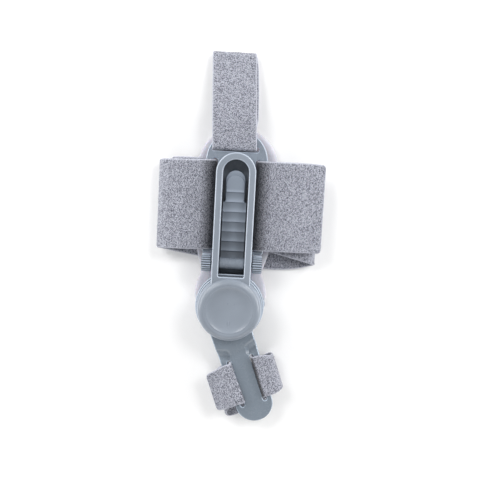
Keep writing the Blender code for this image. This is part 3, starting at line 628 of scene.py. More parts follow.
def pile_tree():
    """Tree that raises a strap's pile and sets thread loops on it."""
    tree, given, result = start_tree(
        "Loop pile",
        (("Geometry", "Geometry"), ("Relief", "Float"), ("Grain", "Float"), ("Loop width", "Float"),
         ("Thread", "Float"), ("Density", "Float"), ("Seed", "Int"), ("Material", "Material")),
    )
    relief, width, seed = (given.outputs[name] for name in ("Relief", "Loop width", "Seed"))
    cloth = add_node(tree, "GeometryNodeInputNamedAttribute", {"Name": "cloth"}, data_type="FLOAT_VECTOR")
    frequency = math_node(tree, "DIVIDE", 1.0, given.outputs["Grain"])
    clumps = add_node(tree, "ShaderNodeTexNoise",
                      {"Vector": cloth.outputs[0], "Scale": frequency, "Detail": 2.0, "Roughness": 0.6})
    height = math_node(tree, "MULTIPLY", math_node(tree, "SUBTRACT", clumps.outputs[0], 0.5),
                       math_node(tree, "MULTIPLY", relief, 3.0))
    normal = add_node(tree, "GeometryNodeInputNormal")
    shift = add_node(tree, "ShaderNodeVectorMath", {0: normal.outputs[0], "Scale": height}, operation="SCALE")
    raised = add_node(tree, "GeometryNodeSetPosition",
                      {"Geometry": given.outputs["Geometry"], "Offset": shift.outputs[0]})
    spots = add_node(tree, "GeometryNodeDistributePointsOnFaces",
                     {"Mesh": raised.outputs[0], "Density": given.outputs["Density"], "Seed": seed})

    side = math_node(tree, "MULTIPLY", width, 0.5)
    other_side = math_node(tree, "MULTIPLY", side, -1.0)
    rise = math_node(tree, "MULTIPLY", width, 0.55)
    start, middle, end = (add_node(tree, "ShaderNodeCombineXYZ", {axis: value}).outputs[0]
                          for axis, value in (("X", other_side), ("Z", rise), ("X", side)))
    thread = add_node(tree, "GeometryNodeCurveQuadraticBezier",
                      {"Resolution": 4, "Start": start, "Middle": middle, "End": end})
    wire = add_node(tree, "GeometryNodeCurvePrimitiveCircle",
                    {"Resolution": 3, "Radius": given.outputs["Thread"]}, mode="RADIUS")
    loop = add_node(tree, "GeometryNodeCurveToMesh",
                    {"Curve": thread.outputs[0], "Profile Curve": wire.outputs[0], "Fill Caps": True})

    spin, size = (add_node(tree, "FunctionNodeRandomValue", {2: lowest, 3: highest, "Seed": seed},
                           data_type="FLOAT").outputs[1]
                  for lowest, highest in ((0.0, 2 * math.pi), (0.6, 1.25)))
    about = add_node(tree, "ShaderNodeCombineXYZ", {"Z": spin})
    spun = add_node(tree, "FunctionNodeRotateRotation", {0: spots.outputs["Rotation"], 1: about.outputs[0]},
                    rotation_space="LOCAL")
    copies = add_node(tree, "GeometryNodeInstanceOnPoints",
                      {"Points": spots.outputs["Points"], "Instance": loop.outputs[0],
                       "Rotation": spun.outputs[0], "Scale": size})
    both = add_node(tree, "GeometryNodeJoinGeometry")
    for part in (copies, raised):
        tree.links.new(part.outputs[0], both.inputs[0])
    return end_tree(tree, given, result, both.outputs[0])


# Materials


def start_material(name, colour, roughness):
    """Returns a material, its node tree and its shader."""
    material = bpy.data.materials.new(name)
    material.use_nodes = True
    material.diffuse_color = (*colour, 1.0)
    tree = material.node_tree
    shader = tree.nodes["Principled BSDF"]
    shader.inputs["Base Color"].default_value = (*colour, 1.0)
    shader.inputs["Roughness"].default_value = roughness
    return material, tree, shader


def shaded(colour, factor):
    """Returns a colour made lighter or darker, with its alpha."""
    return (*[min(c * factor, 1.0) for c in colour], 1.0)


def noise(tree, vector, scale, detail, roughness=0.5, distortion=0.0):
    """Adds a noise texture and returns its value."""
    texture = add_node(tree, "ShaderNodeTexNoise", {"Vector": vector, "Scale": scale, "Detail": detail,
                                                    "Roughness": roughness, "Distortion": distortion})
    return texture.outputs[0]


def colour_ramp(tree, value, *stops):
    """Turns a value into a colour between stops, each a place and a colour."""
    ramp = add_node(tree, "ShaderNodeValToRGB", {0: value})
    points = ramp.color_ramp.elements
    points[0].position, points[0].color = stops[0]
    points[1].position, points[1].color = stops[-1]
    for place, colour in stops[1:-1]:
        points.new(place).color = colour
    return ramp.outputs[0]


def times_attribute(tree, colour, attribute):
    """Multiplies a colour by a number that the piece's points carry."""
    factor = add_node(tree, "ShaderNodeAttribute", attribute_name=attribute).outputs["Fac"]
    return add_node(tree, "ShaderNodeVectorMath", {0: colour, "Scale": factor}, operation="SCALE").outputs[0]


def roughen(tree, shader, height, strength, distance):
    """Bumps the surface of a shader."""
    bump = add_node(tree, "ShaderNodeBump", {"Height": height, "Strength": strength, "Distance": distance})
    tree.links.new(bump.outputs[0], shader.inputs["Normal"])


def moulded_plastic(name, colour, roughness):
    """Satin moulded plastic with a fine grain, faint flow marks, small scuffs, and the painted highlights and
    painted shade that its points carry.
    """
    material, tree, shader = start_material(name, colour, roughness)
    place = add_node(tree, "ShaderNodeTexCoord").outputs["Object"]
    flow = noise(tree, place, 45.0, 3.0, distortion=0.6)
    tone = colour_ramp(tree, flow, (0.3, shaded(colour, 0.94)), (0.7, shaded(colour, 1.06)))
    # the base colour is multiplied by each point's painted light and shade
    tree.links.new(times_attribute(tree, tone, "painted_light_and_shade"), shader.inputs["Base Color"])
    scuff = noise(tree, place, 260.0, 4.0, 0.7)
    rough = add_node(tree, "ShaderNodeMapRange",
                     {"Value": scuff, "From Min": 0.3, "From Max": 0.7, "To Min": roughness - 0.03,
                      "To Max": roughness + 0.03})
    tree.links.new(rough.outputs[0], shader.inputs["Roughness"])
    roughen(tree, shader, noise(tree, place, 2600.0, 2.0), 0.25, 0.02 * MM)
    return material


def loop_fabric(name, light, dark):
    """Brushed loop fabric: short clumps across the strap, fine threads, faint ribs, painted shade near the
    slots and a painted highlight along its edges.
    """
    material, tree, shader = start_material(name, light, 0.95)
    shader.inputs["Sheen Weight"].default_value = 0.25
    shader.inputs["Sheen Roughness"].default_value = 0.5
    shader.inputs["Specular IOR Level"].default_value = 0.2
    cloth = add_node(tree, "ShaderNodeAttribute", attribute_name="cloth").outputs["Vector"]
    ribs = add_node(tree, "ShaderNodeTexWave",
                    {"Vector": cloth, "Scale": 185.0, "Distortion": 1.6, "Detail": 1.0, "Detail Scale": 3.0},
                    bands_direction="X")
    height = math_node(tree, "MULTIPLY", ribs.outputs[1], 0.015)
    # stretch of the noise, its detail, roughness and distortion, and its share of the height
    layers = (
        ((4000.0, 1800.0, 600.0), 1.0, 0.5, 0.35, 0.77),
        ((7000.0, 3600.0, 700.0), 2.0, 0.6, 0.0, 0.22),
    )
    for stretch, detail, roughness, distortion, share in layers:
        place = add_node(tree, "ShaderNodeMapping", {"Vector": cloth, "Scale": stretch}).outputs[0]
        layer = noise(tree, place, 1.0, detail, roughness, distortion)
        height = math_node(tree, "ADD", height, math_node(tree, "MULTIPLY", layer, share))

    between = [0.5 * (d + b) for d, b in zip(dark, light)]
    tone = colour_ramp(tree, height, (0.425, (*dark, 1.0)), (0.49, (*between, 1.0)), (0.565, (*light, 1.0)))
    edge = add_node(tree, "ShaderNodeAttribute", attribute_name="painted_edge_highlight").outputs["Fac"]
    # the edges get a painted highlight, and the pile near the slots painted shade
    # a colour mix has its factor in socket 0 and its two colours in sockets 6 and 7
    mixed = add_node(tree, "ShaderNodeMix",
                     {0: math_node(tree, "MULTIPLY", edge, 0.55), 6: times_attribute(tree, tone, "painted_slot_shade"),
                      7: shaded(light, 1.25)}, data_type="RGBA")
    tree.links.new(mixed.outputs[2], shader.inputs["Base Color"])
    roughen(tree, shader, height, 1.0, 0.5 * MM)
    return material


def soft_pad(name, colour):
    """Soft pad with a fine brushed face."""
    material, tree, shader = start_material(name, colour, 0.75)
    shader.inputs["Sheen Weight"].default_value = 0.2
    shader.inputs["Subsurface Weight"].default_value = 0.08
    shader.inputs["Subsurface Scale"].default_value = 1.0 * MM
    place = add_node(tree, "ShaderNodeTexCoord").outputs["Object"]
    cells = noise(tree, place, 900.0, 3.0, 0.6)
    tone = colour_ramp(tree, cells, (0.3, shaded(colour, 0.92)), (0.65, shaded(colour, 1.03)))
    tree.links.new(tone, shader.inputs["Base Color"])
    roughen(tree, shader, cells, 0.4, 0.08 * MM)
    return material


def finish_named(name):
    """Returns one of the object's finishes, made on first use."""
    own = "splint_" + name
    if own in bpy.data.materials:
        return bpy.data.materials[own]
    look = bpy.context.scene.splint_finishes
    # colour and roughness
    plastics = {
        "frame_plastic": (look.frame_colour, 0.27),
        "cap_plastic": (look.cap_colour, 0.3),
        # the tongue gets a lighter copy of the frame plastic: painted light against the shade in the ring's
        # window
        "tongue_lit_plastic": (shaded(look.frame_colour, TONGUE_PAINTED_LIGHT)[:3], 0.25),
        "arm_plastic": (look.arm_colour, 0.27),
    }
    if name in plastics:
        colour, roughness = plastics[name]
        return moulded_plastic(own, tuple(colour), roughness)
    if name == "loop_fabric":
        return loop_fabric(own, tuple(look.fabric_light), tuple(look.fabric_dark))
    return soft_pad(own, tuple(look.pad_colour))


# Plastic pieces


def dish_height(share):
    """Height of the cap's bowl at a share of its radius: steep below a crisp rim, and flat in the middle."""
    return CAP_TOP - DISH_DEPTH * (1 - 0.9 * (share / DISH_RIM)**5)


def cap_profile():
    """Returns the profile of the cap, from the pivot boss round the skirt to the middle of the dish."""
    shoulder = CAP_RADIUS - DISH_RADIUS
    rows = (
        (CAP_RADIUS, CAP_TOP - 0.80 * shoulder),
        (CAP_RADIUS - 0.05 * shoulder, CAP_TOP - 0.55 * shoulder),
        (CAP_RADIUS - 0.20 * shoulder, CAP_TOP - 0.29 * shoulder),
        (CAP_RADIUS - 0.42 * shoulder, CAP_TOP - 0.10 * shoulder),
        (CAP_RADIUS - 0.68 * shoulder, CAP_TOP),
        (DISH_RADIUS + 0.10 * shoulder, CAP_TOP - 0.03 * shoulder),
        (1.01 * DISH_RADIUS, CAP_TOP - 0.06 * DISH_DEPTH),
    )
    shares = (DISH_RIM, 0.96, 0.92, 0.87, 0.82, 0.76, 0.69, 0.60, 0.49, 0.36)
    rows += tuple((share * DISH_RADIUS, dish_height(share)) for share in shares)
    smooth = [(p.x, p.y) for p in smooth_rows([(x, y, 0) for x, y in rows], 5)]
    lip = CAP_RADIUS + CAP_LIP
    skirt = [(0, ARM_HUB_BOTTOM), (PIVOT_RADIUS, ARM_HUB_BOTTOM), (PIVOT_RADIUS, CAP_BOTTOM)]
    skirt += [(lip - 0.1 * MM, CAP_BOTTOM), (lip, CAP_BOTTOM + 0.1 * MM), (lip, CAP_BOTTOM + 0.45 * MM)]
    skirt += [(lip - 0.15 * MM, CAP_BOTTOM + 0.6 * MM), (CAP_RADIUS, CAP_BOTTOM + 0.6 * MM)]
    return skirt + smooth + [(0, dish_height(0))]


def window_outline(end, corner):
    """Returns the outline of the ring's window down to a place, with its lower corners rounded."""
    top_centre = RING_TOP_REACH - RING_HALF_WIDTH
    half = WINDOW_HALF_WIDTH - corner
    window = arc((0, top_centre), WINDOW_HALF_WIDTH, 0, 180, 48)
    window += arc((-half, end + corner), corner, 180, 270, 6)
    return window + arc((half, end + corner), corner, 270, 360, 6)


def make_base_frame(edge):
    """Returns the plate with its slots, channel and bearing disc."""
    corner = 1.5 * MM
    side = PLATE_HALF_WIDTH
    outline = arc((0, PLATE_TOP_REACH - side), side, 0, 180, 72)
    outline += arc((-side + corner, -PLATE_END + corner), corner, 180, 270, 8)
    outline += arc((side - corner, -PLATE_END + corner), corner, 270, 360, 8)
    levels = rounded_levels(PLATE_BOTTOM, PLATE_TOP, LOWER_EDGE_RADIUS, edge, BEVEL_EDGE)
    base = prism("frame_plate", outline, levels)

    trough_half = SLOT_INNER + CLEARANCE
    box = rectangle(-trough_half, trough_half, HUB_PLACE + PIVOT_RADIUS, HEEL_SLOT_START - 0.8 * MM)
    levels = rounded_levels(BASE_BOTTOM, TROUGH_TOP, LOWER_EDGE_RADIUS, 0.15 * MM)
    combine(base, prism("trough_body", box, levels), "UNION")
    hub = (0, HUB_PLACE)
    disc = disc_profile(DISC_RADIUS, BASE_BOTTOM, DISC_TOP, edge)
    combine(base, turned("bearing_disc", disc, hub), "UNION")
    lug_place = DISC_RADIUS + LUG_PROUD - LUG_RADIUS
    lug_centre = (lug_place * math.cos(LUG_ANGLE), HUB_PLACE + lug_place * math.sin(LUG_ANGLE))
    lug = disc_profile(LUG_RADIUS, BASE_BOTTOM + 0.4 * MM, DISC_TOP - 0.4 * MM, edge)
    combine(base, turned("stop_lug", lug, lug_centre, steps=48), "UNION")

    low = BASE_BOTTOM - 1 * MM
    for name, sign in (("left_slot", -1), ("right_slot", 1)):
        x_low, x_high = sorted((sign * SLOT_INNER, sign * RAIL_INNER))
        cut = slot_outline(x_low, x_high, -SLOT_HALF_LENGTH, SLOT_HALF_LENGTH)
        combine(base, flared_cutter(name, cut, low, lambda x, y: PLATE_TOP, RAIL_SLOT_EDGE), "DIFFERENCE")
    x_low = HEEL_SLOT_SHIFT - HEEL_SLOT_HALF_LENGTH
    x_high = HEEL_SLOT_SHIFT + HEEL_SLOT_HALF_LENGTH
    cut = slot_outline(x_low, x_high, HEEL_SLOT_START, HEEL_SLOT_START + HEEL_SLOT_HEIGHT)
    cutter = flared_cutter("heel_slot", cut, low, lambda x, y: PLATE_TOP, NARROW_SLOT_EDGE)
    combine(base, cutter, "DIFFERENCE")

    channel = window_outline(LADDER_TAIL - 1.2 * MM, 0.2 * MM)
    combine(base, prism("channel", channel, ((CHANNEL_FLOOR, 0), (TROUGH_TOP + 1 * MM, 0))), "DIFFERENCE")
    room = cylinder("arm_room", ARM_HUB_RADIUS + 0.4 * MM, DISC_TOP, TROUGH_TOP + 1 * MM, hub)
    combine(base, room, "DIFFERENCE")
    # painted highlights on the bevels just below the plate's top and the disc's top
    return paint_light_and_shade(even_shading(base), lambda co: edge_highlight_tone(co.z, (PLATE_TOP, DISC_TOP), FRAME_EDGE_HIGHLIGHT))


def make_bridge_cap(edge):
    """Returns the ring, neck and dished cap."""
    top_centre = RING_TOP_REACH - RING_HALF_WIDTH
    outline = arc((0, top_centre), RING_HALF_WIDTH, 0, 180, 64)
    outline += [(-RING_HALF_WIDTH, HUB_PLACE + PIVOT_RADIUS), (RING_HALF_WIDTH, HUB_PLACE + PIVOT_RADIUS)]
    levels = rounded_levels(RING_BOTTOM, RING_TOP, 0.2 * MM, 1.3 * edge, BEVEL_EDGE)
    bridge = prism("ring", outline, levels)

    low = RING_BOTTOM - 1 * MM
    hub = (0, HUB_PLACE)
    combine(bridge, cylinder("hub_room", DISC_RADIUS + CLEARANCE, low, CAP_BOTTOM, hub), "DIFFERENCE")
    combine(bridge, turned("cap", cap_profile(), hub, steps=160), "UNION")
    window = window_outline(WINDOW_END, WINDOW_CORNER)
    combine(bridge, flared_cutter("window", window, low, lambda x, y: RING_TOP, 1.2 * edge), "DIFFERENCE")

    start = WINDOW_END + CROSS_BAR
    reach = WINDOW_HALF_WIDTH + 1.5 * MM
    bar = rectangle(-reach, reach, start, start + CROSS_BAR)
    bar_top = RING_TOP - CROSS_BAR_DEPTH
    levels = rounded_levels(bar_top - 1.5 * CROSS_BAR, bar_top, 0, 0.4 * MM, BEVEL_EDGE)
    combine(bridge, prism("cross_bar", bar, levels), "UNION")
    rings = []
    for away in (GATE_START, 0.52, 0.64, 0.72, GATE_END):
        y, z = HUB_PLACE - away * DISH_RADIUS, dish_height(away)
        foot = z - 0.5 * MM
        top = z + (0.14 if GATE_START < away < GATE_END else 0.02) * MM
        half, wide = GATE_HALF_WIDTH, GATE_HALF_WIDTH + 0.1 * MM
        rings.append([(-wide, y, foot), (-half, y, top), (half, y, top), (wide, y, foot)])
    combine(bridge, add_mesh("gate_mark", *skin_rings(rings)), "UNION")
    reach = RING_HALF_WIDTH + 1 * MM
    hole = arc((ROLLER_PLACE, ROLLER_HEIGHT), AXLE_RADIUS + CLEARANCE, 0, 355, 71)
    rings = [[(x, y, z) for y, z in hole] for x in (-reach, reach)]
    combine(bridge, add_mesh("axle_holes", *skin_rings(rings)), "DIFFERENCE")

    def painted_tone_at(co):
        """Painted highlights on the ring's bevels, the cap's lip and the gate mark."""
        away = math.hypot(co.x, co.y - HUB_PLACE)
        if away > CAP_RADIUS + 0.1 * MM and CAP_BOTTOM < co.z < CAP_BOTTOM + 0.7 * MM:
            return RING_EDGE_HIGHLIGHT
        share = (HUB_PLACE - co.y) / DISH_RADIUS
        if abs(co.x) < GATE_HALF_WIDTH + 0.01 * MM and GATE_START - 0.01 < share < GATE_END + 0.01:
            return GATE_HIGHLIGHT
        return edge_highlight_tone(co.z, (RING_TOP, bar_top), RING_EDGE_HIGHLIGHT) if away > CAP_RADIUS - 1 * MM else 1.0

    return paint_light_and_shade(even_shading(bridge), painted_tone_at)


def make_thumb_roller(ridges):
    """Returns the roller: a plain drum on its axle and an end with ridges at each side."""
    inner = RING_HALF_WIDTH + 1.5 * CLEARANCE
    outer = inner + KNURL_LENGTH
    drum_end = WINDOW_HALF_WIDTH - CLEARANCE
    depth = KNURL_DEPTH
    core = KNURL_RADIUS - depth
    soft = KNURL_CHAMFER
    # place along the axis and radius, for the right half from the middle out
    half_rows = (
        (0.0, DRUM_RADIUS),
        (drum_end - 0.2 * MM, DRUM_RADIUS),
        (drum_end, DRUM_RADIUS - 0.2 * MM),
        (drum_end, AXLE_RADIUS),
        (inner, AXLE_RADIUS),
        (inner, core - soft),
        (inner + 0.3 * soft, core - 0.4 * soft),
        (inner + soft, core),
        (outer - soft, core),
        (outer - 0.3 * soft, core - 0.3 * soft),
        (outer, core - soft),
        (outer, 1.2 * MM),
        (outer - 0.4 * MM, 0.8 * MM),
    )
    rows = [(-x, radius) for x, radius in reversed(half_rows[1:])] + list(half_rows)
    rings = []
    for x, radius in rows:
        ring = arc((ROLLER_PLACE, ROLLER_HEIGHT), radius, 0, 360 * 95 / 96, 95)
        rings.append([(x, y, z) for y, z in ring])
    roller = add_mesh("roller_core", *skin_rings(rings))
    even_shading(roller)

    pitch = 2 * math.pi * KNURL_RADIUS / ridges
    foot, crest = 0.30 * pitch, 0.13 * pitch
    profile = [(-foot, -0.5 * depth), (-foot * 0.96, 0.0), (-crest, 0.88 * depth), (-crest * 0.5, depth)]
    profile += [(-y, z) for y, z in reversed(profile)]
    half = KNURL_LENGTH / 2
    ends = ((-half + 0.05 * MM, 0.45), (-half + 0.25 * MM, 0.8), (-half + soft, 1.0))
    ends += tuple((-x, share) for x, share in reversed(ends))
    rings = []
    for x, share in ends:
        sunk = 0.5 * depth + (1 - share) * 0.6 * soft
        rings.append([(x, y, (z + 0.5 * depth) * share - sunk) for y, z in profile])
    ridge = add_mesh("ridge", *skin_rings(rings))
    tree = copies_tree("Roller ridges", "Reach", ridge_layout)
    pieces = [roller]
    for sign in (-1, 1):
        ring = add_mesh("ridge_ring", [], [])
        origin = (sign * (inner + half), ROLLER_PLACE, ROLLER_HEIGHT)
        run_tree(ring, tree, {"Copies": ridges, "Reach": core, "Origin": origin, "Shape": ridge,
                              "Material": finish_named("frame_plastic")})
        ring.data.shade_smooth()
        ring.data.set_sharp_from_angle(angle=math.radians(50))
        pieces.append(ring)
    bpy.data.objects.remove(ridge, do_unlink=True)

    def painted_tone_at(co):
        """Painted shade between the ridges, painted highlights on them, and an even tone on the drum."""
        if abs(co.x) < inner:
            return DRUM_TONE
        return 0.5 + 1.1 * ease(math.hypot(co.y - ROLLER_PLACE, co.z - ROLLER_HEIGHT), core, KNURL_RADIUS)

    return paint_light_and_shade(join_pieces("finished_roller", pieces), painted_tone_at)


def join_pieces(name, pieces):
    """Returns one object that holds the meshes of several, and removes those."""
    bpy.ops.object.select_all(action="DESELECT")
    for piece in pieces:
        piece.select_set(True)
    bpy.context.view_layer.objects.active = pieces[0]
    bpy.ops.object.join()
    pieces[0].name = name
    return pieces[0]


def make_ladder_tongue(ribs, pitch):
    """Returns the sloping tongue with its ribs."""
    run = LADDER_TIP_REACH - ROLLER_PLACE
    slope = math.atan2(LADDER_RISE, run)
    stretch = 1 / math.cos(slope)
    crest = ROLLER_HEIGHT - (DRUM_RADIUS + CLEARANCE) * stretch
    place = Matrix.Translation((0, ROLLER_PLACE, crest)) @ Matrix.Rotation(slope, 4, "X")

    def tip_outline(tip, narrower):
        """Plan outline of the tongue up to a round tip, measured from the drum."""
        radius = LADDER_TIP_HALF_WIDTH - narrower
        end = (LADDER_TAIL - ROLLER_PLACE) * stretch
        shoulder = (LADDER_FIRST_TOOTH - pitch + 0.8 * MM - ROLLER_PLACE) * stretch
        wide = LADDER_HALF_WIDTH
        shape = [(-wide, end), (wide, end), (wide, shoulder - 1.8 * MM), (radius, shoulder)]
        shape += arc((0, (tip - ROLLER_PLACE) * stretch - radius), radius, 0, 180, 40)
        return shape + [(-radius, shoulder), (-wide, shoulder - 1.8 * MM)]

    tooth = LADDER_TOOTH_HEIGHT
    top = -tooth
    levels = rounded_levels(top - LADDER_PLATE, top, 0.15 * MM, 0.3 * MM)
    tongue = prism("tongue_plate", tip_outline(LADDER_TIP_REACH, 0), levels)

    # side view of the raised plate and of one rib: a gentle rise to the crest, then a steep drop
    first = (LADDER_FIRST_TOOTH - ROLLER_PLACE) * stretch
    tip = (LADDER_TIP_REACH - LADDER_LIP - ROLLER_PLACE) * stretch
    second = pitch * stretch
    rise_shape = ((0.80, -0.83), (0.62, -0.76), (0.45, -0.62), (0.30, -0.42), (0.19, -0.21), (0.11, -0.06))
    crest_shape = ((0.070, -0.01), (0.040, 0.0), (0.012, -0.06), (-0.020, -0.28), (-0.065, -0.85))
    raised = [(first - second - 0.4 * MM, top - 0.5 * MM), (tip + 1 * MM, top - 0.5 * MM)]
    raised += [(tip + 1 * MM, -0.42 * tooth), (first + 0.45 * second, -0.42 * tooth)]
    raised += [(first + y * second, z * tooth) for y, z in rise_shape[3:] + crest_shape]
    raised += [(first + (y - 1) * second, z * tooth) for y, z in rise_shape + crest_shape]
    wide = LADDER_HALF_WIDTH + 1 * MM
    front = add_mesh("raised_plate", *skin_rings([[(x, y, z) for y, z in raised] for x in (-wide, wide)]))
    trim_levels = ((top - 1 * MM, 0), (-0.65 * tooth, 0), (-0.45 * tooth, -0.10 * MM), (0.5 * MM, -0.3 * MM))
    trim = prism("plate_trim", tip_outline(LADDER_TIP_REACH - LADDER_LIP, 0.3 * MM), trim_levels)
    combine(front, trim, "INTERSECT")
    combine(tongue, front, "UNION")

    wide = LADDER_HALF_WIDTH - 0.02 * MM
    side = [(-second - 0.4 * MM, top - 0.3 * MM), (-0.2 * MM, top - 0.3 * MM), (-0.2 * MM, -0.85 * tooth)]
    side += [((y - 1) * second, z * tooth) for y, z in rise_shape + crest_shape]
    rings = []
    for x, low in ((-wide, 0.12), (-wide + 0.15 * MM, 0.0), (wide - 0.15 * MM, 0.0), (wide, 0.12)):
        rings.append([(x, y, min(z, top + (1 - low) * tooth)) for y, z in side])
    rib = add_mesh("rib", *skin_rings(rings))
    row = add_mesh("rib_row", [], [])
    tree = copies_tree("Tongue ribs", "Pitch", rib_layout)
    origin = (0.0, first - second, 0.0)
    run_tree(row, tree, {"Copies": ribs - 2, "Pitch": second, "Origin": origin, "Shape": rib,
                         "Material": finish_named("tongue_lit_plastic")})
    bpy.data.objects.remove(rib, do_unlink=True)
    even_shading(tongue)
    even_shading(row, 30)
    whole = join_pieces("finished_tongue", [tongue, row])

    def painted_tone_at(co):
        """Painted highlights on the ribs' crests, painted shade between them, and painted shade deepening
        towards the drum.
        """
        height = min(max(1 + co.z / tooth, 0), 1)
        ribbed = co.y < first + 0.2 * second
        return (0.62 + 0.66 * height if ribbed else 1.0) * (0.66 + 0.34 * ease(co.y, 0, first))

    return move_points(paint_light_and_shade(whole, painted_tone_at), place)


def arm_half_width(along):
    """Half width of the toe arm at a distance from the hub."""
    beyond = along - ARM_TIP_PLACE
    if beyond > 0:
        return math.sqrt(max(ARM_TIP_RADIUS**2 - beyond**2, 0))
    share = along / ARM_TIP_PLACE
    return ARM_ROOT_HALF_WIDTH + (ARM_TIP_RADIUS - ARM_ROOT_HALF_WIDTH) * share


def arm_surface(across, along):
    """Height of the arm's upper face, which steps down past the hub and folds before each slot."""
    top = ARM_HUB_TOP - ARM_DROP * ease(along, ARM_DROP_START, ARM_DROP_END)
    aside = max(abs(across) - ARM_SLOT_INNER, 0)
    crease = ARM_SLOT_START - 1.8 * MM - 0.5 * aside
    down = ease(along, crease - 6 * MM, crease)
    up = min(max((along - crease) / ARM_CREASE_RUN, 0), 1)
    beside = ease(abs(across), ARM_SLOT_INNER - 1.2 * MM, ARM_SLOT_INNER + 0.6 * MM)
    return top - 2.4 * ARM_CREASE_DEPTH * beside * (down - up)


def make_toe_arm(edge):
    """Returns the arm with its hub, its creased rails and its two slots."""
    tip = ARM_TIP_PLACE + ARM_TIP_RADIUS
    stations = [6 * MM + 0.6 * MM * k for k in range(int((ARM_TIP_PLACE - 6 * MM) / (0.6 * MM)) + 1)]
    stations += [ARM_TIP_PLACE + ARM_TIP_RADIUS * math.sin(math.radians(a)) for a in range(4, 88, 4)]
    shares = [k / 22 for k in range(-22, 23)]
    bevel = list(reversed(BEVEL_EDGE[:-1]))
    rings = []
    for along in stations:
        wide = arm_half_width(along)
        thinned = ease(along, ARM_DROP_START, ARM_DROP_END)
        thick = ARM_HUB_TOP - ARM_HUB_BOTTOM
        thick += (ARM_THICKNESS - thick) * thinned
        soft = min(edge, 0.3 * wide)
        past = soft
        if along > ARM_TIP_PLACE:
            past = min(soft, 0.999 * (tip - along) + 0.02 * MM)
        upper, lower = [], []
        for share in shares:
            across = share * (wide - soft)
            height = arm_surface(across, along)
            upper.append((across, height - (soft - past) * 0.6))
            lower.append((across, height - thick))
        right = [(wide - soft * inset, upper[-1][1] - soft * sunk) for inset, sunk in bevel]
        left = [(-across, upper[0][1] + height - upper[-1][1]) for across, height in reversed(right)]
        low_right = [(wide, lower[-1][1] + 0.2 * MM), (wide - 0.2 * MM, lower[-1][1])]
        low_left = [(-wide + 0.2 * MM, lower[0][1]), (-wide, lower[0][1] + 0.2 * MM)]
        ring = upper + right + low_right + list(reversed(lower[1:-1])) + low_left + left
        rings.append([(ARM_OFFSET + across, -along, height) for across, height in ring])
    arm = add_mesh("arm_blade", *skin_rings(rings))
    hub = turned("hub_disc", disc_profile(ARM_HUB_RADIUS, ARM_HUB_BOTTOM, ARM_HUB_TOP, edge), (0, 0))
    combine(arm, hub, "UNION")
    low, high = ARM_HUB_BOTTOM - 1 * MM, ARM_HUB_TOP + 1 * MM
    combine(arm, cylinder("pivot_hole", PIVOT_RADIUS + CLEARANCE, low, high, (0, 0), 96), "DIFFERENCE")

    def face(x, y):
        """Height of the arm's upper face at a place."""
        return arm_surface(x - ARM_OFFSET, -y)

    for name, sign in (("left_toe_slot", -1), ("right_toe_slot", 1)):
        sides = (ARM_OFFSET + sign * ARM_SLOT_INNER, ARM_OFFSET + sign * (ARM_SLOT_INNER + ARM_SLOT_WIDTH))
        x_low, x_high = sorted(sides)
        cut = slot_outline(x_low, x_high, -ARM_SLOT_START - 2 * ARM_SLOT_HALF_LENGTH, -ARM_SLOT_START)
        combine(arm, flared_cutter(name, cut, low - 3 * MM, face, NARROW_SLOT_EDGE), "DIFFERENCE")
    # painted highlights on the bevels just below the arm's upper face and along its slots
    paint_light_and_shade(even_shading(arm, 30), lambda co: edge_highlight_tone(co.z, [face(co.x, co.y)], ARM_EDGE_HIGHLIGHT))
    return move_points(arm, toe_frame())


# Soft pieces


def strap_rows(table, reach, lowest, highest, width):
    """Returns strap rows from shares of reach, height and width, and of the width again where it isn't 1."""
    rows = []
    for run, height, shift, *share in table:
        rows.append((run * reach, lowest + height * (highest - lowest), shift * width, *(share or [1.0])))
    return rows


def rail_wrap(sign, slot, rail, under, over, shift, spread=1.0):
    """Returns rows that take a strap from under a rail, up through its slot and back over the rail."""
    bend = STRAP_BEND
    turn = (
        (rail, under, 1.0),
        (slot + bend, under, spread),
        (slot + 0.3 * bend, under + 0.3 * bend, spread),
        (slot, under + bend, spread),
        (slot, over - bend, spread),
        (slot + 0.3 * bend, over - 0.3 * bend, 1.0),
        (slot + bend, over, 1.0),
        (rail, over, 1.0),
    )
    return [(sign * across, height, shift, share) for across, height, share in turn]


def even_path(rows, step, closed):
    """Returns rows at even distances along a smooth curve, each with its distance from the start."""
    path = smooth_rows(rows, 16, closed)
    if closed:
        path.append(path[0])
    reached = [0.0]
    for one, two in zip(path, path[1:]):
        reached.append(reached[-1] + (two.xyz - one.xyz).length)
    total = reached[-1]
    count = round(total / step)
    result = []
    at = 0
    for k in range(count if closed else count + 1):
        distance = total * k / count
        while at < len(path) - 2 and reached[at + 1] < distance:
            at += 1
        share = (distance - reached[at]) / (reached[at + 1] - reached[at])
        result.append((distance, path[at].lerp(path[at + 1], share)))
    return result, total


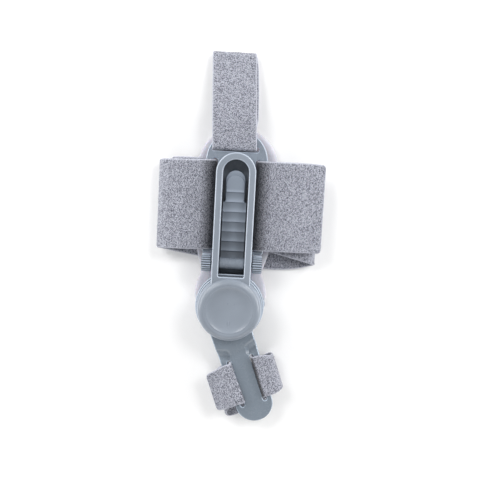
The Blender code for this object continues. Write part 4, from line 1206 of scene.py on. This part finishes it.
def fine_ribbon(name, rows, width, thickness, along, closed=False):
    """Returns a strap with rounded edges and ends, its places on the cloth and the edges that get a painted
    highlight as attributes.

    along is 0 where the strap runs along X and 1 where it runs along Y; its width lies across that.
    """
    path, total = even_path(rows, STRAP_STEP, closed)
    count = len(path)
    half = thickness / 2
    lanes = round(width / STRAP_LANE)
    corner = STRAP_CORNER
    rounding = [math.pi * k / 6 for k in range(1, 6)]
    rings, places, edges = [], [], []
    for i, (distance, row) in enumerate(path):
        run, height, shift, share = row
        height = max(height, half)
        before = path[i - 1][1] if closed or i else row
        after = path[(i + 1) % count][1] if closed or i + 1 < count else row
        direction = Vector((after[0] - before[0], after[1] - before[1])).normalized()
        normal = Vector((-direction.y, direction.x))
        near_end = min(distance, total - distance) if not closed else 1.0
        cut = corner - math.sqrt(max(corner**2 - max(corner - near_end, 0) ** 2, 0))
        thin = half * math.sqrt(max(1 - max(1 - near_end / half, 0) ** 2, 0.04)) if not closed else half
        side = share * width / 2 - cut
        flat = side - thin
        profile = [(-flat + 2 * flat * k / lanes, thin) for k in range(lanes + 1)]
        profile += [(flat + thin * math.sin(angle), thin * math.cos(angle)) for angle in rounding]
        profile += [(-across, -rise) for across, rise in profile]
        ring = []
        for across, rise in profile:
            place = [0.0, 0.0, height + normal.y * rise]
            place[along] = run + normal.x * rise
            place[1 - along] = shift + across
            ring.append(tuple(place))
            places.append((distance, across, rise))
            # edges that get a painted highlight in the fabric
            edges.append(1.0 if abs(across) > flat + 0.2 * thin or near_end < 0.6 * half else 0.0)
        rings.append(ring)
    strap = add_mesh(name, *skin_rings(rings, closed))
    write_attribute(strap, "cloth", [c for place in places for c in place], "FLOAT_VECTOR")
    return write_attribute(strap, "painted_edge_highlight", edges)


def shade_slots(strap, middle, left, right, reach, lowest, darkest):
    """Paints shade on a strap, above a height, where it dips into the slots at both sides of a middle line.
    """
    tones = []
    for point in strap.data.vertices:
        across = point.co.x - middle
        near = left if across < 0 else right
        share = ease(abs(across), near, near + reach)
        share = 0.35 * share + 0.65 * share**2
        tones.append(darkest + (1 - darkest) * share if point.co.z > lowest else 1.0)
    return write_attribute(strap, "painted_slot_shade", tones)


def make_foot_strap():
    """Returns the wide strap: sewn end, left rail, left fold, floor, right fold, right rail, free end."""
    half = FOOT_STRAP_THICKNESS / 2
    width = FOOT_STRAP_WIDTH
    slot = RAIL_INNER - 1.5 * CLEARANCE - half
    rail = (RAIL_INNER + PLATE_HALF_WIDTH) / 2
    under = PLATE_BOTTOM - CLEARANCE - half
    over = PLATE_TOP + CLEARANCE + half
    below = over - FOOT_STRAP_THICKNESS - CLEARANCE
    left = -LEFT_FOLD_REACH + half
    right = RIGHT_FOLD_REACH - half
    # each table: run as a share of the reach, height from floor to layer, shift and width as shares of width
    sewn_end = (
        (0.86, 0.816, 0.004),
        (0.72, 0.951, 0.010),
        (0.60, 0.985, 0.012),
        (0.53, 0.932, 0.010),
        (0.44, 0.767, 0.004),
    )
    left_fold = (
        (0.50, 1.000, -0.010),
        (0.72, 0.968, -0.016),
        (0.88, 0.847, -0.020),
        (0.97, 0.629, -0.025),
        (1.00, 0.444, -0.033),
        (0.985, 0.218, -0.043),
        (0.93, 0.048, -0.055),
        (0.85, 0.000, -0.069),
        (0.50, 0.000, -0.116),
        (0.00, 0.000, -0.184),
    )
    right_fold = (
        (0.42, 0.000, -0.231),
        (0.72, 0.000, -0.222),
        (0.88, 0.000, -0.194),
        (0.965, 0.135, -0.169),
        (1.00, 0.500, -0.149),
        (0.965, 0.865, -0.133),
        (0.86, 1.014, -0.104),
        (0.62, 1.000, -0.051),
        (0.47, 1.000, -0.018),
    )
    free_end = (
        (0.50, 1.000, 0.004),
        (0.72, 0.992, 0.006),
        (1.00, 0.944, 0.002, 0.99),
    )
    rows = strap_rows(sewn_end, left, half, below, width)
    rows += rail_wrap(-1, slot, rail, under, over, -0.004 * width)
    rows += strap_rows(left_fold, left, half, over, width)
    rows += strap_rows(right_fold, right, half, under, width)
    rows += rail_wrap(1, slot, rail, under, over, 0.002 * width)
    rows += strap_rows(free_end, FREE_END_REACH, half, over, width)
    strap = fine_ribbon("foot_loop", rows, width, FOOT_STRAP_THICKNESS, 0)
    slot_edge = RING_HALF_WIDTH - 1.5 * MM
    # painted shade in the slots, and painted shadow of the ring on the flaps next to it
    return shade_slots(strap, 0.0, slot_edge, slot_edge, 12 * MM, PLATE_BOTTOM, 0.12)


def make_heel_strap():
    """Returns the closed loop round the frame's top rim."""
    half = HEEL_STRAP_THICKNESS / 2
    width = HEEL_STRAP_WIDTH
    slot = HEEL_SLOT_START + HEEL_SLOT_HEIGHT / 2 - 0.1 * MM
    bend = STRAP_BEND
    under = PLATE_BOTTOM - CLEARANCE - half
    over = PLATE_TOP + CLEARANCE + half
    pad_end = PAD_TOP_CENTRE + PAD_TOP_RADIUS
    free = HEEL_FOLD_REACH - half - pad_end
    # each table: run past the pad as a share of the free length, height from floor to layer, and shift
    fold = (
        (0.12, 0.960, 0.0),
        (0.36, 0.806, 0.0),
        (0.62, 0.565, 0.0),
        (0.84, 0.323, 0.0),
        (0.95, 0.234, 0.0),
        (1.00, 0.105, 0.0),
        (0.95, 0.008, 0.015),
        (0.84, 0.000, 0.04),
        (0.45, 0.000, 0.055),
        (0.20, 0.008, 0.05),
    )
    rise = (
        (0.10, 0.210, 0.045),
        (0.055, 0.580, 0.03),
        (-0.01, 0.974, 0.0),
    )
    rows = [
        (slot, under + bend, 0.0, 1.0),
        (slot, over - bend, 0.0, 1.0),
        (slot + 0.3 * bend, over - 0.3 * bend, 0.0, 1.0),
        (slot + bend, over, 0.0, 1.0),
        (PLATE_TOP_REACH - 2 * MM, over, 0.0, 1.0),
    ]
    for table, top in ((fold, over), (rise, under)):
        past_pad = strap_rows(table, free, half, top, width)
        rows += [(pad_end + run, height, shift, share) for run, height, shift, share in past_pad]
    rows += [
        (PLATE_TOP_REACH - 1 * MM, under, 0.0, 1.0),
        (slot + bend, under, 0.0, 1.0),
        (slot + 0.3 * bend, under + 0.3 * bend, 0.0, 1.0),
    ]
    lean = math.tan(HEEL_STRAP_LEAN)
    leaning = []
    for run, height, shift, share in rows:
        leaning.append((run, height, shift + HEEL_STRAP_SHIFT - (run - slot) * lean, share))
    strap = fine_ribbon("heel_loop", leaning, width, HEEL_STRAP_THICKNESS, 1, closed=True)
    return write_attribute(strap, "painted_slot_shade", [1.0] * len(strap.data.vertices))


def make_toe_strap():
    """Returns the narrow strap: sewn end, right rail, right fold, floor, left fold, left rail, free end."""
    half = TOE_STRAP_THICKNESS / 2
    width = TOE_STRAP_WIDTH
    left_slot = ARM_SLOT_INNER + CLEARANCE + half
    right_slot = ARM_SLOT_INNER + 1.3 * CLEARANCE + half
    rail = (ARM_SLOT_INNER + ARM_SLOT_WIDTH + ARM_TIP_RADIUS) / 2 + 0.4 * MM
    under = ARM_RAIL_BOTTOM - CLEARANCE - half
    over = ARM_RAIL_TOP + CLEARANCE + half
    fold = TOE_FOLD_REACH - half
    # each table: run as a share of the reach, height from floor to layer, shift and width as shares of width
    right_fold = (
        (0.78, 0.956, 0.004, 0.95),
        (0.93, 0.796, -0.012, 0.88),
        (1.00, 0.540, -0.016, 0.85),
        (0.96, 0.177, -0.024, 0.87),
        (0.83, 0.027, -0.072, 0.92),
        (0.62, 0.000, -0.128, 0.97),
        (0.00, 0.000, -0.240),
    )
    left_fold = (
        (-0.62, 0.000, -0.320),
        (-0.85, 0.054, -0.328),
        (-0.97, 0.277, -0.288),
        (-1.00, 0.500, -0.224),
        (-0.95, 0.770, -0.136),
        (-0.80, 0.970, -0.040),
    )
    free_end = (
        (-0.62, 1.000, 0.004, 0.98),
        (-0.80, 0.982, -0.012, 0.95),
        (-1.00, 0.938, -0.024, 0.91),
    )
    start = 0.024 * width
    rows = [(ARM_TIP_RADIUS + 2 * CLEARANCE, under, 0.0, 0.94)]
    rows += rail_wrap(1, right_slot, rail, under, over, start, 1.05)
    rows += strap_rows(right_fold, fold, half, over, width)
    rows += strap_rows(left_fold, fold, half, under, width)
    rows += rail_wrap(-1, left_slot, rail, under, over, start, 1.05)
    rows += strap_rows(free_end, TOE_FREE_END_REACH, half, over, width)
    rows = [(ARM_OFFSET + run, height, shift - ARM_SLOT_CENTRE, share) for run, height, shift, share in rows]
    strap = fine_ribbon("toe_loop", rows, width, TOE_STRAP_THICKNESS, 0)
    for point in strap.data.vertices:
        across = ARM_OFFSET - point.co.x
        lift = ease(point.co.z, ARM_RAIL_TOP + 0.1 * MM, ARM_RAIL_TOP + 1.2 * MM)
        along = -point.co.y
        lower = ease(along, ARM_SLOT_START, ARM_SLOT_START + 2 * ARM_SLOT_HALF_LENGTH)
        if across > 0:
            point.co.x += lift * (1 - ease(across, ARM_SLOT_INNER, 11 * MM)) * (0.7 + 1.5 * lower) * MM
    left, right = ARM_SLOT_INNER - 1.6 * MM, ARM_SLOT_INNER + 0.9 * MM
    # painted shade where the strap dips into the arm's slots
    shade_slots(strap, ARM_OFFSET, left, right, 1.2 * MM, ARM_RAIL_BOTTOM, 0.1)
    return move_points(strap, toe_frame())


def make_pad():
    """Returns the guitar-shaped pad, swollen between its soft edges."""
    # share of the way from the top arc's centre to the lobe's centre, and half width
    side_rows = (
        (0.00, PAD_TOP_RADIUS),
        (0.18, PAD_TOP_RADIUS * 0.995),
        (0.40, PAD_TOP_RADIUS * 0.975),
        (0.62, PAD_TOP_RADIUS * 0.935),
        (0.74, PAD_WAIST_HALF_WIDTH * 1.10),
        (0.83, PAD_WAIST_HALF_WIDTH),
        (0.92, PAD_LOBE_RADIUS * 0.955),
        (1.00, PAD_LOBE_RADIUS),
    )
    run = PAD_TOP_CENTRE - PAD_LOBE_CENTRE
    left = [(-half, PAD_TOP_CENTRE - share * run, 0) for share, half in side_rows]
    left = [(p.x, p.y) for p in smooth_rows(left, 8)]
    right = [(-x, y) for x, y in reversed(left)]
    outline = arc((0, PAD_TOP_CENTRE), PAD_TOP_RADIUS, 0, 180, 60)[:-1] + left[:-1]
    outline += arc((0, PAD_LOBE_CENTRE), PAD_LOBE_RADIUS, 180, 360, 60)[:-1] + right[:-1]
    outline = [(x + PAD_TOP_SHIFT * ease(y, PAD_LOBE_CENTRE, 0) + math.copysign(PAD_PROUD, x), y)
               for x, y in outline]
    levels = rounded_levels(PAD_BOTTOM + PAD_SLACK, PAD_TOP - PAD_SLACK, PAD_EDGE_RADIUS, PAD_EDGE_RADIUS)
    pad = prism("soft_pad_piece", offset_outline(outline, -PAD_SLACK), levels)
    return swell(pad, PAD_VOXEL, PAD_SLACK)


def swell(piece, voxel, most):
    """Lets a piece swell as cloth, at ten times its size, with no point moved further than most."""
    large = 10
    piece.data.transform(Matrix.Scale(large, 4))
    step = piece.modifiers.new("Even mesh", "REMESH")
    step.mode = "VOXEL"
    step.voxel_size = voxel * large
    bake_modifiers(piece)
    start = [point.co.copy() for point in piece.data.vertices]
    scene = bpy.context.scene
    cloth = piece.modifiers.new("Swelling", "CLOTH")
    cloth.settings.quality = 4
    cloth.settings.use_pressure = True
    cloth.settings.uniform_pressure_force = SWELL_PRESSURE
    cloth.settings.effector_weights.gravity = 0.0
    cloth.point_cache.frame_start = 1
    cloth.point_cache.frame_end = SWELL_FRAMES
    for frame in range(1, SWELL_FRAMES + 1):
        scene.frame_set(frame)
    bake_modifiers(piece)
    scene.frame_set(1)
    for point, first in zip(piece.data.vertices, start):
        moved = point.co - first
        point.co = first + moved * min(1.0, most * large / max(moved.length, 1e-9))
    step = piece.modifiers.new("Soft face", "SMOOTH")
    step.factor = 0.5
    step.iterations = 3
    step = piece.modifiers.new("Finer mesh", "SUBSURF")
    step.levels = step.render_levels = 1
    bake_modifiers(piece)
    piece.data.transform(Matrix.Scale(1 / large, 4))
    piece.data.shade_smooth()
    return piece


# What a user calls


class SPLINT_OT_pad(Operator):
    """Makes the soft pad"""

    bl_idname = "splint.pad"
    bl_label = "Pad"

    def execute(self, context):
        pad = make_pad()
        finish_piece(pad, finish_named("soft_pad"), "frame", "soft_pad", "pad")
        return {"FINISHED"}


class SPLINT_OT_base_frame(Operator):
    """Makes the plate with its slots, channel and bearing disc"""

    bl_idname = "splint.base_frame"
    bl_label = "Base frame"

    def execute(self, context):
        base = make_base_frame(context.scene.splint_sizes.edge_radius)
        base.name = "finished_base"
        finish_piece(base, finish_named("frame_plastic"), "frame", "frame_plastic", "base_frame")
        return {"FINISHED"}


class SPLINT_OT_bridge_cap(Operator):
    """Makes the ring, the neck and the dished cap"""

    bl_idname = "splint.bridge_cap"
    bl_label = "Ring and cap"

    def execute(self, context):
        bridge = make_bridge_cap(context.scene.splint_sizes.edge_radius)
        bridge.name = "finished_bridge"
        finish_piece(bridge, finish_named("cap_plastic"), "frame", "cap_plastic", "bridge_cap")
        return {"FINISHED"}


class SPLINT_OT_roller_and_tongue(Operator):
    """Makes the ridged thumb roller and the ribbed tongue that it moves"""

    bl_idname = "splint.roller_and_tongue"
    bl_label = "Roller and tongue"

    def execute(self, context):
        sizes = context.scene.splint_sizes
        roller = make_thumb_roller(sizes.knurl_ridges)
        finish_piece(roller, finish_named("frame_plastic"), "roller", "frame_plastic", "thumb_roller")
        tongue = make_ladder_tongue(sizes.ladder_teeth, sizes.ladder_pitch)
        finish_piece(tongue, finish_named("tongue_lit_plastic"), "ladder", "frame_plastic", "ladder_tongue")
        return {"FINISHED"}


class SPLINT_OT_toe_arm(Operator):
    """Makes the swinging toe arm"""

    bl_idname = "splint.toe_arm"
    bl_label = "Toe arm"

    def execute(self, context):
        arm = make_toe_arm(context.scene.splint_sizes.edge_radius)
        arm.name = "finished_arm"
        finish_piece(arm, finish_named("arm_plastic"), "toe", "arm_plastic", "toe_arm")
        return {"FINISHED"}


class SPLINT_OT_straps(Operator):
    """Makes the three loop fabric straps"""

    bl_idname = "splint.straps"
    bl_label = "Straps"

    def execute(self, context):
        sizes = context.scene.splint_sizes
        tree = pile_tree()
        # node, maker, body, flat length and flat width
        straps = (
            ("foot_strap", make_foot_strap, "frame", FOOT_STRAP_LENGTH, FOOT_STRAP_WIDTH),
            ("heel_strap", make_heel_strap, "frame", HEEL_STRAP_LENGTH, HEEL_STRAP_WIDTH),
            ("toe_strap", make_toe_strap, "toe", TOE_STRAP_LENGTH, TOE_STRAP_WIDTH),
        )
        for seed, (node, maker, body, length, width) in enumerate(straps, 1):
            strap = maker()
            strap.name = "finished_" + node
            values = {"Relief": sizes.pile_relief, "Grain": sizes.pile_grain, "Loop width": sizes.loop_width,
                      "Thread": sizes.loop_wire, "Density": sizes.loop_density, "Seed": seed,
                      "Material": finish_named("loop_fabric")}
            run_tree(strap, tree, values)
            strap.data.shade_smooth()
            finish_piece(strap, finish_named("loop_fabric"), body, "loop_fabric", node)
        return {"FINISHED"}


class SPLINT_OT_stage(Operator):
    """Sets the floor, the lights and the camera"""

    bl_idname = "splint.stage"
    bl_label = "Stage"

    def execute(self, context):
        scene = context.scene
        values = scene.splint_stage
        corners = rectangle(-FLOOR_SIZE, FLOOR_SIZE, -FLOOR_SIZE, FLOOR_SIZE)
        floor = add_mesh("floor", [(x, y, -FLOOR_DROP) for x, y in corners], [(0, 1, 2, 3)])
        material, _, shader = start_material("pale_floor", (values.floor_tone,) * 3, 0.9)
        shader.inputs["Specular IOR Level"].default_value = 0.1
        floor.data.materials.append(material)

        world = bpy.data.worlds.new("Studio")
        world.use_nodes = True
        world.node_tree.nodes["Background"].inputs["Color"].default_value = (1.0, 1.0, 1.0, 1.0)
        world.node_tree.nodes["Background"].inputs["Strength"].default_value = values.sky
        scene.world = world
        # name, place, width and height of the light, and power
        lights = (
            ("left_heel_light", (-0.44, 0.42, 0.66), 0.35, 0.22, 0.5 * values.key),
            ("right_heel_light", (0.44, 0.42, 0.66), 0.35, 0.22, 0.5 * values.key),
            ("left_light", (-0.62, 0.22, 0.22), 1.0, 0.16, values.side),
            ("right_light", (0.62, 0.22, 0.22), 1.0, 0.16, values.side),
            ("toe_light", (0.0, -0.62, 0.24), 0.8, 0.16, 0.25 * values.side),
        )
        for name, place, wide, high, power in lights:
            light = bpy.data.lights.new(name, "AREA")
            light.shape = "RECTANGLE"
            light.size = wide
            light.size_y = high
            light.energy = power
            lamp = bpy.data.objects.new(name, light)
            scene.collection.objects.link(lamp)
            lamp.location = place
            aim = Vector((0, -0.02, 0.01)) - lamp.location
            lamp.rotation_euler = aim.to_track_quat("-Z", "Y").to_euler()

        back = Vector((0, math.sin(CAMERA_TILT), math.cos(CAMERA_TILT)))
        up = Vector((-math.sin(CAMERA_ROLL), math.cos(CAMERA_ROLL), 0))
        right = up.cross(back).normalized()
        up = back.cross(right)
        turn = Matrix((right, up, back)).transposed().to_4x4()
        lens = bpy.data.cameras.new("camera")
        lens.sensor_width = 36
        lens.lens = lens.sensor_width * CAMERA_REACH / CAMERA_SPAN
        lens.clip_start = 0.01
        camera = bpy.data.objects.new("camera", lens)
        scene.collection.objects.link(camera)
        camera.matrix_world = Matrix.Translation(CAMERA_TARGET + back * CAMERA_REACH) @ turn
        scene.camera = camera
        scene.view_settings.view_transform = "Standard"
        return {"FINISHED"}


STEPS = (
    SPLINT_OT_pad,
    SPLINT_OT_base_frame,
    SPLINT_OT_bridge_cap,
    SPLINT_OT_roller_and_tongue,
    SPLINT_OT_toe_arm,
    SPLINT_OT_straps,
    SPLINT_OT_stage,
)


class SPLINT_PT_panel(Panel):
    """Lists the steps and their settings"""

    bl_label = "Bunion corrector"
    bl_idname = "SPLINT_PT_panel"
    bl_space_type = "VIEW_3D"
    bl_region_type = "UI"
    bl_category = "Splint"

    def draw(self, context):
        layout = self.layout
        for step in STEPS:
            layout.operator(step.bl_idname)
        for group in (context.scene.splint_sizes, context.scene.splint_finishes, context.scene.splint_stage):
            box = layout.box()
            for name in group.__annotations__:
                box.prop(group, name)


CLASSES = (SplintSizes, SplintFinishes, SplintStage, *STEPS, SPLINT_PT_panel)


def register():
    """Adds the classes and the scene's settings."""
    for item in CLASSES:
        bpy.utils.register_class(item)
    bpy.types.Scene.splint_sizes = PointerProperty(type=SplintSizes)
    bpy.types.Scene.splint_finishes = PointerProperty(type=SplintFinishes)
    bpy.types.Scene.splint_stage = PointerProperty(type=SplintStage)


def unregister():
    """Removes the settings and the classes."""
    del bpy.types.Scene.splint_stage
    del bpy.types.Scene.splint_finishes
    del bpy.types.Scene.splint_sizes
    for item in reversed(CLASSES):
        bpy.utils.unregister_class(item)


def main():
    """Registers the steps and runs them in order."""
    register()
    for step in STEPS:
        group, name = step.bl_idname.split(".")
        getattr(getattr(bpy.ops, group), name)()


if __name__ == "__main__":
    main()
